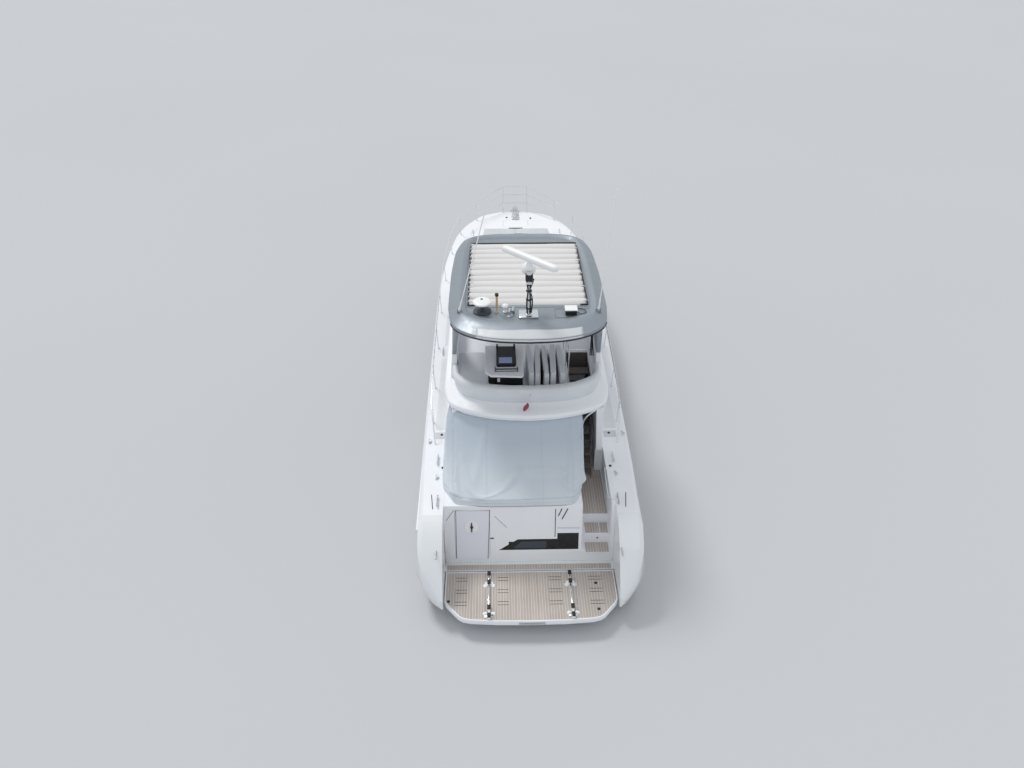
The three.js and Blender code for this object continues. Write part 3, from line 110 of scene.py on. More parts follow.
def linear(colour):
    """A colour as seen on screen, 0 to 255, as the shader wants it."""
    parts = [(c / 255 / 12.92) if c < 10.3 else ((c / 255 + 0.055) / 1.055) ** 2.4 for c in colour]
    return (*parts, 1.0)


def shade(colour, factor):
    return tuple(min(c * factor, 255) for c in colour)


class Shader:
    """A node material that is put together step by step."""

    def __init__(self, name, rough=0.5, metal=0.0, **fixed):
        self.material = bpy.data.materials.new(name)
        self.material.use_nodes = True
        self.tree = self.material.node_tree
        self.tree.nodes.clear()
        values = {key.replace("_", " "): value for key, value in fixed.items()}
        self.bsdf = self.add("BsdfPrincipled", {"Roughness": rough, "Metallic": metal, **values})
        self.add("OutputMaterial", {"Surface": self.bsdf.outputs["BSDF"]})
        self.coords = self.add("TexCoord").outputs["Object"]

    def add(self, kind, inputs=(), **settings):
        """A node with its settings; each of its inputs is joined to an output or set to a value."""
        made = self.tree.nodes.new("ShaderNode" + kind)
        for key, value in settings.items():
            setattr(made, key, value)
        for key, value in dict(inputs).items():
            if isinstance(value, bpy.types.NodeSocket):
                self.tree.links.new(value, made.inputs[key])
            else:
                made.inputs[key].default_value = value
        return made

    def join(self, output, name):
        self.tree.links.new(output, self.bsdf.inputs[name])

    def stretched(self, stretch):
        return self.add("Mapping", {"Vector": self.coords, "Scale": stretch}).outputs["Vector"]

    def noise(self, scale, detail=3.0, stretch=(1, 1, 1), rough=0.5):
        inputs = {"Vector": self.stretched(stretch), "Scale": scale, "Detail": detail, "Roughness": rough}
        return self.add("TexNoise", inputs).outputs["Fac"]

    def axis(self, letter):
        return self.add("SeparateXYZ", {0: self.coords}).outputs[letter]

    def math(self, operation, *values):
        return self.add("Math", enumerate(values), operation=operation).outputs[0]

    def range(self, value, low, high, to_low, to_high):
        inputs = {"Value": value, "From Min": low, "From Max": high, "To Min": to_low, "To Max": to_high}
        return self.add("MapRange", inputs).outputs["Result"]

    def mix(self, factor, a, b):
        """From a to b, each of them an output or a colour as seen on screen."""
        a, b = (linear(value) if isinstance(value, tuple) else value for value in (a, b))
        return self.add("Mix", {0: factor, 6: a, 7: b}, data_type="RGBA").outputs[2]

    def tones(self, factor, colour, dark, light):
        """From a darker to a lighter shade of one colour."""
        return self.mix(factor, shade(colour, dark), shade(colour, light))

    def colour(self, output):
        self.join(output, "Base Color")

    def uneven_gloss(self, scale, low, high, detail=3.0):
        """Roughness that wanders between two values."""
        self.join(self.range(self.noise(scale, detail), 0.3, 0.7, low, high), "Roughness")

    def bump(self, height, strength, distance=0.001):
        """One more bump, on top of those that are there."""
        inputs = {"Strength": strength, "Distance": distance, "Height": height}
        links = self.bsdf.inputs["Normal"].links
        if links:
            inputs["Normal"] = links[0].from_socket
        self.join(self.add("Bump", inputs).outputs["Normal"], "Normal")


def moulded(name, colour, rough=0.3, metal=0.0, dirt=0.06, orange=0.04):
    """Gel coat, paint or plastic: slow changes of tone, faint streaks, a slightly uneven gloss."""
    s = Shader(name, rough, metal)
    tone = s.tones(s.noise(0.5), colour, 1 - dirt / 2, 1 + dirt / 3)
    streak = s.range(s.noise(2.2, 4.0, (1.0, 1.0, 0.3)), 0.5, 0.85, 0.0, 0.3)
    s.colour(s.mix(streak, tone, shade(colour, 1 - 1.5 * dirt)))
    s.uneven_gloss(6.0, rough * 0.85, rough * 1.2)
    s.bump(s.noise(60.0, 2.0), orange, 0.0004)
    return s


def hull_paint(name, paint_line=0.07):
    """White topsides, stained low down, over dark antifouling."""
    s = Shader(name, 0.2, Coat_Weight=0.3)
    z = s.axis("Z")
    tone = s.mix(s.noise(0.7, 4.0), (226, 231, 234), (240, 243, 245))
    low_down = s.range(z, 0.08, 0.75, 0.55, 0.0)
    runs = s.range(s.noise(3.0, 5.0, (1, 1, 0.3)), 0.35, 0.75, 0.2, 1.0)
    side = s.mix(s.math("MULTIPLY", low_down, runs), tone, (196, 198, 186))
    below = s.mix(s.noise(4.0, 5.0), (24, 28, 36), (44, 50, 58))
    s.colour(s.mix(s.math("GREATER_THAN", z, paint_line), below, side))
    s.join(s.range(z, paint_line - 0.01, paint_line + 0.01, 0.75, 0.2), "Roughness")
    s.bump(s.noise(50.0, 2.0), 0.04, 0.0008)
    return s


def teak(name, plank, worn, caulk, pitch=0.058, seam=0.08):
    """Fore and aft teak strips, weathered, with a pale seam between each two."""
    s = Shader(name, 0.75)
    strip = s.math("ADD", s.math("DIVIDE", s.axis("X"), pitch), 500.0)
    each = s.add("TexWhiteNoise", {"W": s.math("FLOOR", strip)}, noise_dimensions="1D").outputs["Value"]
    grain = s.noise(9.0, 6.0, (9.0, 0.7, 9.0), 0.65)
    wood = s.tones(grain, plank, 0.86, 1.08)
    wood = s.mix(s.range(each, 0, 1, 0.0, 0.5), wood, shade(plank, 0.84))
    wood = s.mix(s.range(s.noise(1.3, 4.0), 0.4, 0.7, 0.0, 0.45), wood, worn)
    off_middle = s.math("ABSOLUTE", s.math("SUBTRACT", s.math("FRACT", strip), 0.5))
    between = s.math("GREATER_THAN", off_middle, 0.5 - seam)
    s.colour(s.mix(between, wood, caulk))
    s.bump(between, -0.5)
    s.bump(grain, 0.25)
    return s


def cloth(name, colour, rough=0.85, vary=0.05, crease=0.0):
    """Woven or coated fabric with a fine weave, soft sheen and slow changes of tone."""
    s = Shader(name, rough, Sheen_Weight=0.25, Sheen_Roughness=0.5)
    tone = s.tones(s.noise(1.1, 4.0), colour, 1 - vary, 1 + vary / 2)
    spot = s.range(s.noise(7.0, 6.0), 0.58, 0.8, 0.0, 0.3)
    s.colour(s.mix(spot, tone, shade(colour, 1 - 2 * vary)))
    for threads in ((90, 0.1, 0), (0.1, 90, 0)):
        wave = s.add("TexWave", {"Vector": s.stretched(threads), "Scale": 1.0}, wave_type="BANDS")
        s.bump(wave.outputs["Fac"], 0.08, 0.0004)
    if crease:
        s.bump(s.noise(6.0, 5.0, rough=0.6), crease, 0.01)
    return s


def painted_shade_by_height(s, low, high, at_low, at_high, colour):
    """Paints shade into a cloth: blends it towards a darker colour, from one share at a low height to another
    at a high one.
    """
    plain = s.bsdf.inputs["Base Color"].links[0].from_socket
    s.colour(s.mix(s.range(s.axis("Z"), low, high, at_low, at_high), plain, colour))
    return s


def leather(name, colour):
    """Marine vinyl: a small pebbled grain with a soft gloss."""
    s = Shader(name)
    s.colour(s.tones(s.noise(2.0, 4.0), colour, 0.95, 1.03))
    s.uneven_gloss(11.0, 0.425, 0.6)
    s.bump(s.add("TexVoronoi", {"Vector": s.coords, "Scale": 350.0}).outputs["Distance"], 0.12, 0.0006)
    s.bump(s.noise(5.0, 4.0), 0.15, 0.006)
    return s


def metal(name, colour, rough):
    s = Shader(name, rough, 1.0)
    s.colour(s.tones(s.noise(3.0, 4.0), colour, 0.93, 1.03))
    s.uneven_gloss(25.0, rough * 0.6, rough * 1.5, 4.0)
    s.bump(s.noise(180.0, 2.0, (1, 1, 0.1)), 0.03, 0.0005)
    return s


def tinted_glass(name, colour):
    s = Shader(name, 0.04, Coat_Weight=0.4, Transmission_Weight=0.12, IOR=1.5)
    s.colour(s.tones(s.noise(1.5), colour, 0.85, 1.15))
    s.uneven_gloss(8.0, 0.02, 0.08)
    return s


def smoked_glass(name):
    s = Shader(name, 0.28)
    s.colour(s.mix(s.noise(2.0), (12, 13, 16), (24, 26, 31)))
    s.uneven_gloss(9.0, 0.2, 0.34)
    return s


def wood_panel(name, colour):
    s = Shader(name, 0.4, Coat_Weight=0.4)
    grain = s.noise(4.0, 6.0, (1.0, 8.0, 8.0), 0.6)
    s.colour(s.tones(grain, colour, 0.7, 1.15))
    s.bump(grain, 0.1, 0.0006)
    return s


# The cockpit's canvas is darker high up, painted shade under the overhang, and the roof's fabric is darker
# low in its pleats, painted shade in the folds
COCKPIT_CLOTH = cloth("acrylic_canvas", (214, 221, 227), 0.8, vary=0.04, crease=0.35)
ROOF_CLOTH = cloth("roof_fabric", (226, 224, 223), vary=0.03)
SHADERS = {
    "hull": hull_paint("hull_gelcoat"),
    "gelcoat": moulded("deck_gelcoat", (242, 244, 248), 0.5, dirt=0.03, orange=0.02),
    # painted shade: the crew door gets a greyer, bluer copy of the deck gel coat, for the shade on the
    # transom face
    "transom": moulded("door_gelcoat_painted_shade", (232, 234, 242), 0.5, dirt=0.03, orange=0.02),
    "nonskid": moulded("deck_nonskid", (212, 215, 219), 0.7, dirt=0.05, orange=0.3),
    "grip": moulded("deck_grip", (229, 232, 235), 0.7, dirt=0.04, orange=0.3),
    "teak": teak("teak_deck", plank=(190, 179, 171), worn=(202, 192, 183), caulk=(216, 211, 206)),
    # painted shade: the canvas darkens towards its top, where the overhang shades it
    "canvas": painted_shade_by_height(COCKPIT_CLOTH, 2.05, 2.75, 0.0, 0.85, (180, 192, 205)),
    "canvas_seam": cloth("canvas_binding", (190, 198, 208)),
    "vinyl": leather("marine_vinyl", (222, 226, 230)),
    "vinyl_light": leather("marine_vinyl_light", (224, 228, 232)),
    "pad": cloth("sunpad_cover", (204, 209, 212), 0.75),
    "roof": moulded("roof_metallic", (146, 154, 162), 0.42, 0.4, dirt=0.05, orange=0.02),
    "roof_pale": moulded("roof_panel", (206, 209, 212), 0.45, 0.1, dirt=0.03, orange=0.01),
    # painted shade: the roof fabric darkens low in the troughs of its pleats
    "soft_roof": painted_shade_by_height(ROOF_CLOTH, 5.425, 5.478, 0.5, 0.0, (150, 147, 146)),
    "steel": metal("polished_steel", (226, 229, 232), 0.22),
    "rail": metal("bright_rail", (234, 237, 240), 0.3),
    "rubber": moulded("black_rubber", (38, 38, 42), 0.6, dirt=0.25),
    # painted shade: a grey for dark lines drawn where shade falls, under the canvas hem and along the
    # transom's folds
    "painted_shade_line": moulded("painted_shade_grey", (120, 123, 130), 0.6, dirt=0.1),
    "glass": tinted_glass("tinted_glass", (22, 28, 33)),
    "smoked": smoked_glass("smoked_glass"),
    "pane": moulded("inner_pane", (58, 68, 81), 0.2, dirt=0.05),
    "black": moulded("black_plastic", (26, 28, 31), 0.4, dirt=0.2),
    "white": moulded("white_plastic", (244, 245, 245), dirt=0.03),
    "bronze": metal("propeller_bronze", (186, 150, 92), 0.35),
    "dark": moulded("dark_plastic", (66, 74, 80), 0.5, dirt=0.15),
    "tread": moulded("stair_covering", (112, 103, 98), 0.75, dirt=0.2, orange=0.3),
    "joinery": wood_panel("walnut", (124, 96, 72)),
    "tan": moulded("tan_plastic", (196, 170, 120), 0.45),
    "screen": moulded("plotter_screen", (166, 182, 224), 0.15),
    "flag": cloth("flag_cloth", (150, 66, 80), 0.9, vary=0.1),
}


# Shapes

def shares(count):
    """From 0 to 1 in equal steps."""
    return [i / count for i in range(count + 1)]


def angles(count):
    """Once round in equal steps."""
    return [2 * math.pi * k / count for k in range(count)]


def level(z, places):
    """Places (x, y) at one height."""
    return [(x, y, z) for x, y in places]


def finish(obj, shader, body="boat", replaces=()):
    obj.data.materials.clear()
    obj.data.materials.append(SHADERS[shader].material)
    if replaces:
        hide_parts(*replaces)
    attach(obj, body)
    return obj


def to_object(name, bm, sharp=35):
    """The mesh as an object, shaded smooth with a crisp line where faces meet at more than sharp degrees."""
    bmesh.ops.recalc_face_normals(bm, faces=bm.faces)
    limit = math.radians(sharp)
    for face in bm.faces:
        face.smooth = True
    for edge in bm.edges:
        edge.smooth = len(edge.link_faces) != 2 or edge.calc_face_angle(0.0) < limit
    mesh = bpy.data.meshes.new(name)
    bm.to_mesh(mesh)
    bm.free()
    obj = bpy.data.objects.new(name, mesh)
    bpy.context.scene.collection.objects.link(obj)
    return obj


def dress(name, nodes, shader, bevel=0.0, sharp=32):
    """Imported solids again, as one clean mesh with rounded edges. The faces where two meet are left out."""
    nodes = nodes.split()
    bm = bmesh.new()
    for node in nodes:
        bm.from_mesh(frame["nodes"][node].data)
    if "foredeck" in nodes:
        inner = [f for f in bm.faces if all(abs(v.co.y - FOREDECK_SEAM_Y) < 0.002 for v in f.verts)]
        bmesh.ops.delete(bm, geom=inner, context="FACES")
    bmesh.ops.remove_doubles(bm, verts=bm.verts, dist=0.0009)
    bmesh.ops.dissolve_degenerate(bm, edges=bm.edges, dist=0.0004)
    bmesh.ops.dissolve_limit(bm, angle_limit=math.radians(0.5), verts=bm.verts, edges=bm.edges)
    obj = to_object(name, bm, sharp)
    if bevel:
        modifier = obj.modifiers.new("edges", "BEVEL")
        modifier.width = bevel
        modifier.segments = 2
        modifier.limit_method = "ANGLE"
        modifier.angle_limit = math.radians(sharp)
    body = body_of(frame["nodes"][nodes[0]])[0]
    return finish(obj, shader, body, nodes)


class Kit:
    """Collects shapes into one mesh."""

    def __init__(self):
        self.bm = bmesh.new()

    def rings(self, rings, closed=True):
        """Quads between rings of equally many points. Closed rings get a face at both ends."""
        made = [[self.bm.verts.new(p) for p in ring] for ring in rings]
        count = len(made[0])
        for a, b in zip(made, made[1:]):
            for i in range(count if closed else count - 1):
                j = (i + 1) % count
                self.bm.faces.new((a[i], a[j], b[j], b[i]))
        if closed:
            self.bm.faces.new(list(reversed(made[0])))
            self.bm.faces.new(made[-1])
        return self

    def slab(self, top, bottom):
        """A closed slab between an upper and a lower grid of points."""
        top, bottom = ([[self.bm.verts.new(p) for p in row] for row in grid] for grid in (top, bottom))
        rows, columns = len(top) - 1, len(top[0]) - 1
        for i in range(rows):
            for k in range(columns):
                self.bm.faces.new((top[i][k], top[i][k + 1], top[i + 1][k + 1], top[i + 1][k]))
                self.bm.faces.new((bottom[i][k], bottom[i + 1][k], bottom[i + 1][k + 1], bottom[i][k + 1]))
        rim = [(0, k) for k in range(columns)] + [(i, columns) for i in range(rows)]
        rim += [(rows, k) for k in range(columns, 0, -1)] + [(i, 0) for i in range(rows, 0, -1)]
        for (i, k), (j, m) in zip(rim, rim[1:] + rim[:1]):
            self.bm.faces.new((top[i][k], bottom[i][k], bottom[j][m], top[j][m]))
        return self

    def tube(self, points, radius, sides=10):
        """A round bar along a line."""
        points = [Vector(p) for p in points]
        side = None
        rings = []
        for i, point in enumerate(points):
            along = (points[min(i + 1, len(points) - 1)] - points[max(i - 1, 0)]).normalized()
            if side is None:
                side = UP if abs(along.z) < 0.9 else Vector((1, 0, 0))
            side = (side - along * side.dot(along)).normalized()
            other = along.cross(side)
            rings.append([point + (side * math.cos(a) + other * math.sin(a)) * radius for a in angles(sides)])
        return self.rings(rings)

    def lathe(self, outline, at, axis=UP, sides=24):
        """A turned shape: the outline is (radius, distance along the axis) from one end to the other."""
        turn = UP.rotation_difference(Vector(axis).normalized()).to_matrix()
        rings = []
        for radius, along in outline:
            r = max(radius, 1e-4)
            ring = [Vector((r * math.cos(a), r * math.sin(a), along)) for a in angles(sides)]
            rings.append([Vector(at) + turn @ p for p in ring])
        return self.rings(rings)

    def stud(self, at, radius, inner, base, shoulder, top, sides=16):
        """A low round button."""
        outline = [(0.0, base), (radius, base), (radius, shoulder), (inner, top), (0.0, top)]
        return self.lathe(outline, at, sides=sides)

    def block(self, low, high, rounding, turn=None):
        """A box between two corners, its edges rounded. turn is a matrix about the box's own middle."""
        low, high = Vector(low), Vector(high)
        spin = turn.to_4x4() if turn else Matrix()
        matrix = Matrix.Translation((low + high) / 2) @ spin @ Matrix.Diagonal((*(high - low), 1))
        made = bmesh.ops.create_cube(self.bm, size=1.0, matrix=matrix)["verts"]
        edges = list({e for v in made for e in v.link_edges})
        bmesh.ops.bevel(self.bm, geom=edges, offset=rounding, segments=2, affect="EDGES", profile=0.5)
        return self

    def make(self, name, shader, body="boat", replaces=(), sharp=35):
        return finish(to_object(name, self.bm, sharp), shader, body, replaces)

    def make_sheet(self, name, shader, thickness, offset=0, replaces=(), sharp=60):
        """An open grid, thickened both ways with offset 0 and inward with -1."""
        sheet = to_object(name, self.bm, sharp)
        solidify = sheet.modifiers.new("thickness", "SOLIDIFY")
        solidify.thickness = thickness
        solidify.offset = offset
        return finish(sheet, shader, replaces=replaces)


def curve_slopes(places, values):
    """Slopes of a smooth curve through values at uneven places."""
    last = len(places) - 1
    rate = [(values[i + 1] - values[i]) / (places[i + 1] - places[i]) for i in range(last)]
    slopes = [rate[0]]
    for i in range(1, last):
        before, after = places[i] - places[i - 1], places[i + 1] - places[i]
        slopes.append((rate[i - 1] * after + rate[i] * before) / (before + after))
    slopes.append(rate[-1])
    return slopes


def curve_line(points, steps):
    """More points between the given ones, on a smooth curve through them."""
    points = [Vector(p) for p in points]
    places = [0.0]
    for a, b in zip(points, points[1:]):
        places.append(places[-1] + max((b - a).length, 1e-6))
    axes = range(len(points[0]))
    slopes = [curve_slopes(places, [p[k] for p in points]) for k in axes]
    line = []
    for i in range(len(points) - 1):
        span = places[i + 1] - places[i]
        for t in shares(steps)[:-1]:
            rise = 3 * t**2 - 2 * t**3
            leave, arrive = span * (t**3 - 2 * t**2 + t), span * (t**3 - t**2)
            bend = Vector([leave * slopes[k][i] + arrive * slopes[k][i + 1] for k in axes])
            line.append(points[i] * (1 - rise) + points[i + 1] * rise + bend)
    line.append(points[-1].copy())
    return line


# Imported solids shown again: name, nodes, shader, width of the rounded edges, angle of a crisp edge.
# A name that ends in "_" stands for both sides of the boat.

DRESSED = [
    ("hull_shell", "hull", "hull", 0.006),
    ("deck_moulding", "deck foredeck", "gelcoat", 0.012),
    ("cockpit_moulding", "cockpit", "gelcoat", 0.010),
    ("house_moulding", "deckhouse", "gelcoat", 0.008),
    ("flybridge_moulding", "flybridge", "gelcoat", 0.010, 35),
    ("hardtop_moulding", "hardtop", "roof", 0.008, 35),
    ("post_", "roof_post_", "roof", 0.012),
    ("platform_moulding", "platform", "gelcoat", 0.010, 40),
    ("platform_planks", "platform_teak", "teak", 0.0, 40),
    ("cockpit_planks", "cockpit_teak", "teak", 0.0, 40),
    ("crew_door_leaf", "crew_door", "transom", 0.006),
    ("transom_glass", "transom_window", "smoked", 0.002),
    ("arm_upper", "lift_arm_upper", "steel", 0.0, 40),
    ("arm_lower", "lift_arm_lower", "steel", 0.0, 40),
    ("chock_rail_", "chock_", "white", 0.005),
    ("bracket_", "shaft_bracket_", "bronze", 0.003, 40),
    ("screw_", "propeller_", "bronze", 0.0, 50),
    ("rudder_blade_", "rudder_", "bronze", 0.0, 50),
    ("locker_lid", "anchor_locker_lid", "gelcoat", 0.004),
    ("winch_base", "windlass", "steel", 0.006, 40),
    ("winch_drum", "windlass_drum", "steel", 0.0, 40),
    ("bow_anchor", "anchor", "steel", 0.004, 40),
    ("rails", "bow_rail", "rail", 0.0, 50),
    ("glass_", "side_glass_", "glass"),
    ("screen_glass", "windscreen", "glass"),
    ("aft_pane", "saloon_pane", "glass"),
    ("door_frame", "saloon_door_frame", "steel", 0.004),
    ("door_glass", "saloon_door_glass", "glass"),
    ("stair_treads", "fly_stairs", "tread", 0.004),
    ("helm_console", "lower_helm", "dark", 0.02),
    ("galley", "galley_counter", "joinery", 0.01),
    ("bar_unit", "fly_bar", "gelcoat", 0.012, 40),
    ("grill_body", "fly_grill", "black", 0.01),
    ("well_rail", "stair_rail", "rail", 0.0, 50),
    ("fly_console", "fly_helm", "gelcoat", 0.03),
    ("helm_wheel", "fly_wheel", "dark", 0.0, 50),
    ("wind_deflector", "fly_windscreen", "glass", 0.0, 40),
    ("whip_aerial_", "whip_", "white", 0.0, 50),
]
FOREDECK_SEAM_Y = 6.46
for name, nodes, *look in DRESSED:
    for side in ("port", "stbd") if name.endswith("_") else ("",):
        dress(name + side, nodes + side, *look)


# Cockpit canvas: one sheet from the overhang down to its hem

CANVAS = [
    level(3.137, [
        (-1.72, -4.40), (-1.69, -4.58), (-1.50, -4.76), (-0.90, -4.95), (-0.45, -5.01),
        (-0.05, -5.04), (0.62, -5.02), (0.95, -4.96), (1.18, -4.86), (1.22, -4.60),
    ]),
    level(2.78, [
        (-1.80, -4.42), (-1.78, -4.84), (-1.49, -5.16), (-0.90, -5.33), (-0.45, -5.36),
        (-0.05, -5.38), (0.62, -5.35), (0.96, -5.30), (1.20, -5.15), (1.215, -4.60),
    ]),
    level(2.45, [
        (-1.84, -4.42), (-1.83, -5.16), (-1.52, -5.60), (-0.90, -5.76), (-0.45, -5.73),
        (-0.05, -5.70), (0.62, -5.66), (0.98, -5.63), (1.19, -5.48), (1.21, -4.60),
    ]),
    [
        (-1.87, -4.42, 2.22), (-1.86, -5.50, 2.22), (-1.55, -6.05, 2.19), (-0.90, -6.29, 2.08),
        (-0.45, -6.17, 2.125), (-0.05, -5.93, 2.21), (0.66, -5.89, 2.21), (0.97, -6.06, 2.165),
        (1.17, -5.82, 2.20), (1.20, -4.60, 2.22),
    ],
    [
        (-1.885, -4.42, 2.05), (-1.875, -5.80, 2.05), (-1.57, -6.27, 2.045), (-0.90, -6.375, 2.035),
        (-0.45, -6.375, 2.03), (-0.05, -6.365, 2.03), (0.62, -6.345, 2.035), (0.95, -6.31, 2.04),
        (1.14, -6.05, 2.045), (1.20, -4.60, 2.05),
    ],
    level(1.886, [
        (-1.89, -4.42), (-1.88, -5.86), (-1.56, -6.36), (-0.90, -6.42), (-0.45, -6.42),
        (-0.05, -6.42), (0.62, -6.41), (0.93, -6.39), (1.12, -6.10), (1.20, -4.60),
    ]),
]
# Folds from one (column, row) of that table to another, how far each stands out, its half width in columns
CANVAS_FOLDS = [
    (1.25, 0.5, 1.80, 3.9, 0.034, 0.09), (1.45, 0.9, 1.92, 3.9, 0.034, 0.07),
    (1.05, 1.2, 1.70, 3.95, 0.030, 0.09), (1.75, 0.6, 2.02, 3.85, 0.028, 0.07),
    (1.60, 1.6, 1.99, 3.95, -0.024, 0.06), (2.10, 1.9, 2.75, 3.95, 0.032, 0.10),
    (2.05, 2.4, 2.30, 3.95, -0.022, 0.12), (3.00, 0.2, 2.60, 2.6, 0.018, 0.10),
    (0.60, 0.6, 1.35, 3.9, -0.024, 0.14), (6.90, 0.3, 6.60, 3.0, 0.018, 0.07),
    (6.10, 3.1, 7.70, 3.75, -0.024, 0.10), (6.95, 3.95, 8.00, 3.3, 0.032, 0.10),
    (6.40, 2.9, 7.90, 3.1, 0.022, 0.12), (7.60, 0.4, 7.85, 3.4, 0.024, 0.10),
    (8.30, 0.3, 8.12, 3.6, 0.022, 0.10), (7.20, 0.1, 7.90, 1.0, -0.024, 0.12),
    (5.00, 0.6, 4.70, 2.8, -0.020, 0.50), (6.00, 0.5, 6.10, 2.8, -0.018, 0.40),
    (3.80, 3.2, 5.20, 3.9, 0.014, 0.30), (5.60, 3.3, 5.90, 3.9, -0.012, 0.25),
    (3.4, 1.0, 3.5, 3.4, 0.016, 0.35), (2.90, 3.6, 4.60, 2.4, 0.026, 0.12),
    (4.60, 2.4, 6.30, 2.5, 0.024, 0.10), (6.30, 2.5, 6.80, 3.6, 0.024, 0.10),
]
FOLD_GAIN = 1.7
FOLD_SPREAD = 1.1
SEAM_COLUMNS = (2.98, 5.5, 6.95, 8.0)
CELL = 14


def fold_height(column, row):
    """How far the folds stand out at a place; each starts faint and ends full."""
    total = 0.0
    for c0, r0, c1, r1, height, half in CANVAS_FOLDS:
        dc, dr = c1 - c0, r1 - r0
        share = min(max(((column - c0) * dc + (row - r0) * dr) / (dc * dc + dr * dr), 0.0), 1.0)
        away = math.hypot(column - c0 - share * dc, (row - r0 - share * dr) * 0.5) / (FOLD_SPREAD * half)
        if away < 3:
            total += FOLD_GAIN * height * math.exp(-away * away) * (0.35 + 0.65 * share)
    return total


def between_rows(table, cell):
    """A finer grid of points over a table of points, straight between them."""
    height, width = (len(table) - 1) * cell + 1, (len(table[0]) - 1) * cell + 1
    grid = []
    for r in range(height):
        i = min(r // cell, len(table) - 2)
        v = r / cell - i
        row = []
        for c in range(width):
            k = min(c // cell, len(table[0]) - 2)
            u = c / cell - k
            a, b, d, e = (Vector(p) for p in (*table[i][k:k + 2], *table[i + 1][k:k + 2]))
            row.append((a * (1 - u) + b * u) * (1 - v) + (d * (1 - u) + e * u) * v)
        grid.append(row)
    return grid


def relax(grid, passes):
    """Rounds the bends of a grid of points; its border keeps to its own line."""
    for _ in range(passes):
        across = [[r[0], *[(a + 2 * b + c) / 4 for a, b, c in zip(r, r[1:], r[2:])], r[-1]] for r in grid]
        triples = zip(across, across[1:], across[2:])
        middle = [[(a + 2 * b + c) / 4 for a, b, c in zip(*rows)] for rows in triples]
        grid = [across[0], *middle, across[-1]]
    return grid


def canvas_grid():
    """The canvas with its folds, which fade out towards the border."""
    grid = relax(between_rows(CANVAS, CELL), 5)
    height, width = len(grid), len(grid[0])
    moved = []
    for r in range(height):
        row = []
        for c in range(width):
            p = grid[r][c]
            along = grid[r][min(c + 1, width - 1)] - grid[r][max(c - 1, 0)]
            down_way = grid[min(r + 1, height - 1)][c] - grid[max(r - 1, 0)][c]
            normal = down_way.cross(along).normalized()
            edge = min(1.0, r / 6, (height - 1 - r) / 4, c / 6, (width - 1 - c) / 6)
            ripple = 0.005 * noise.noise(p * 2.3) + 0.002 * noise.noise(p * 8.0)
            row.append(p + normal * edge * (fold_height(c / CELL, r / CELL) + ripple))
        moved.append(row)
    return moved


def add_canvas():
    grid = canvas_grid()
    sheet = Kit().rings(grid, closed=False).make_sheet(
        "cockpit_canvas", "canvas", 0.0015, replaces=["canvas_cover"], sharp=75,
    )
    trim = Kit()
    for border in (grid[-1], [row[0] for row in grid], [row[-1] for row in grid]):
        trim.tube(border, 0.006, 8)
    lift = Vector((0, -0.001, 0.002))
    for row, radius in ((4 * CELL + 1, 0.006), (4 * CELL + 8, 0.0025)):
        trim.tube([p + lift for p in grid[row]], radius, 6)
    for column in SEAM_COLUMNS:
        trim.tube([row[round(column * CELL)] + lift for row in grid], 0.0022, 6)
    hem = trim.make("canvas_hem", "canvas_seam")
    # A dark line just below the hem: painted shadow where the canvas meets the coaming
    below_hem = Vector((0, 0.004, -0.012))
    Kit().tube([p + below_hem for p in grid[-1][CELL:]], 0.007, 6).make("hem_painted_shadow", "painted_shade_line")


add_canvas()


# Soft roof: pleats across the opening, hung from a black track each side

ROOF_HOLE = {"x": 1.245, "y0": -4.115, "y1": -1.165, "low": 5.425, "high": 5.488}
PLEATS = 11
PLEAT_RISE = 0.76
STEPS_PER_PLEAT = 18
ROOF_COLUMNS = 40
ROOF_TIES = 14
# A tie's loop: outward, forward and up from the edge of the cloth
TIE_LOOP = [(0.02, 0.0, -0.01), (0.0, 0.01, 0.016), (-0.05, 0.02, 0.014), (-0.085, 0.01, 0.002)]


def pleat_height(share):
    """Height of the fabric along the roof: a soft rise and a steeper fall in each pleat."""
    within = share * PLEATS - math.floor(share * PLEATS)
    if within < PLEAT_RISE:
        return math.sin(math.pi / 2 * within / PLEAT_RISE) ** 0.9
    return 0.5 + 0.5 * math.cos(math.pi * (within - PLEAT_RISE) / (1 - PLEAT_RISE))


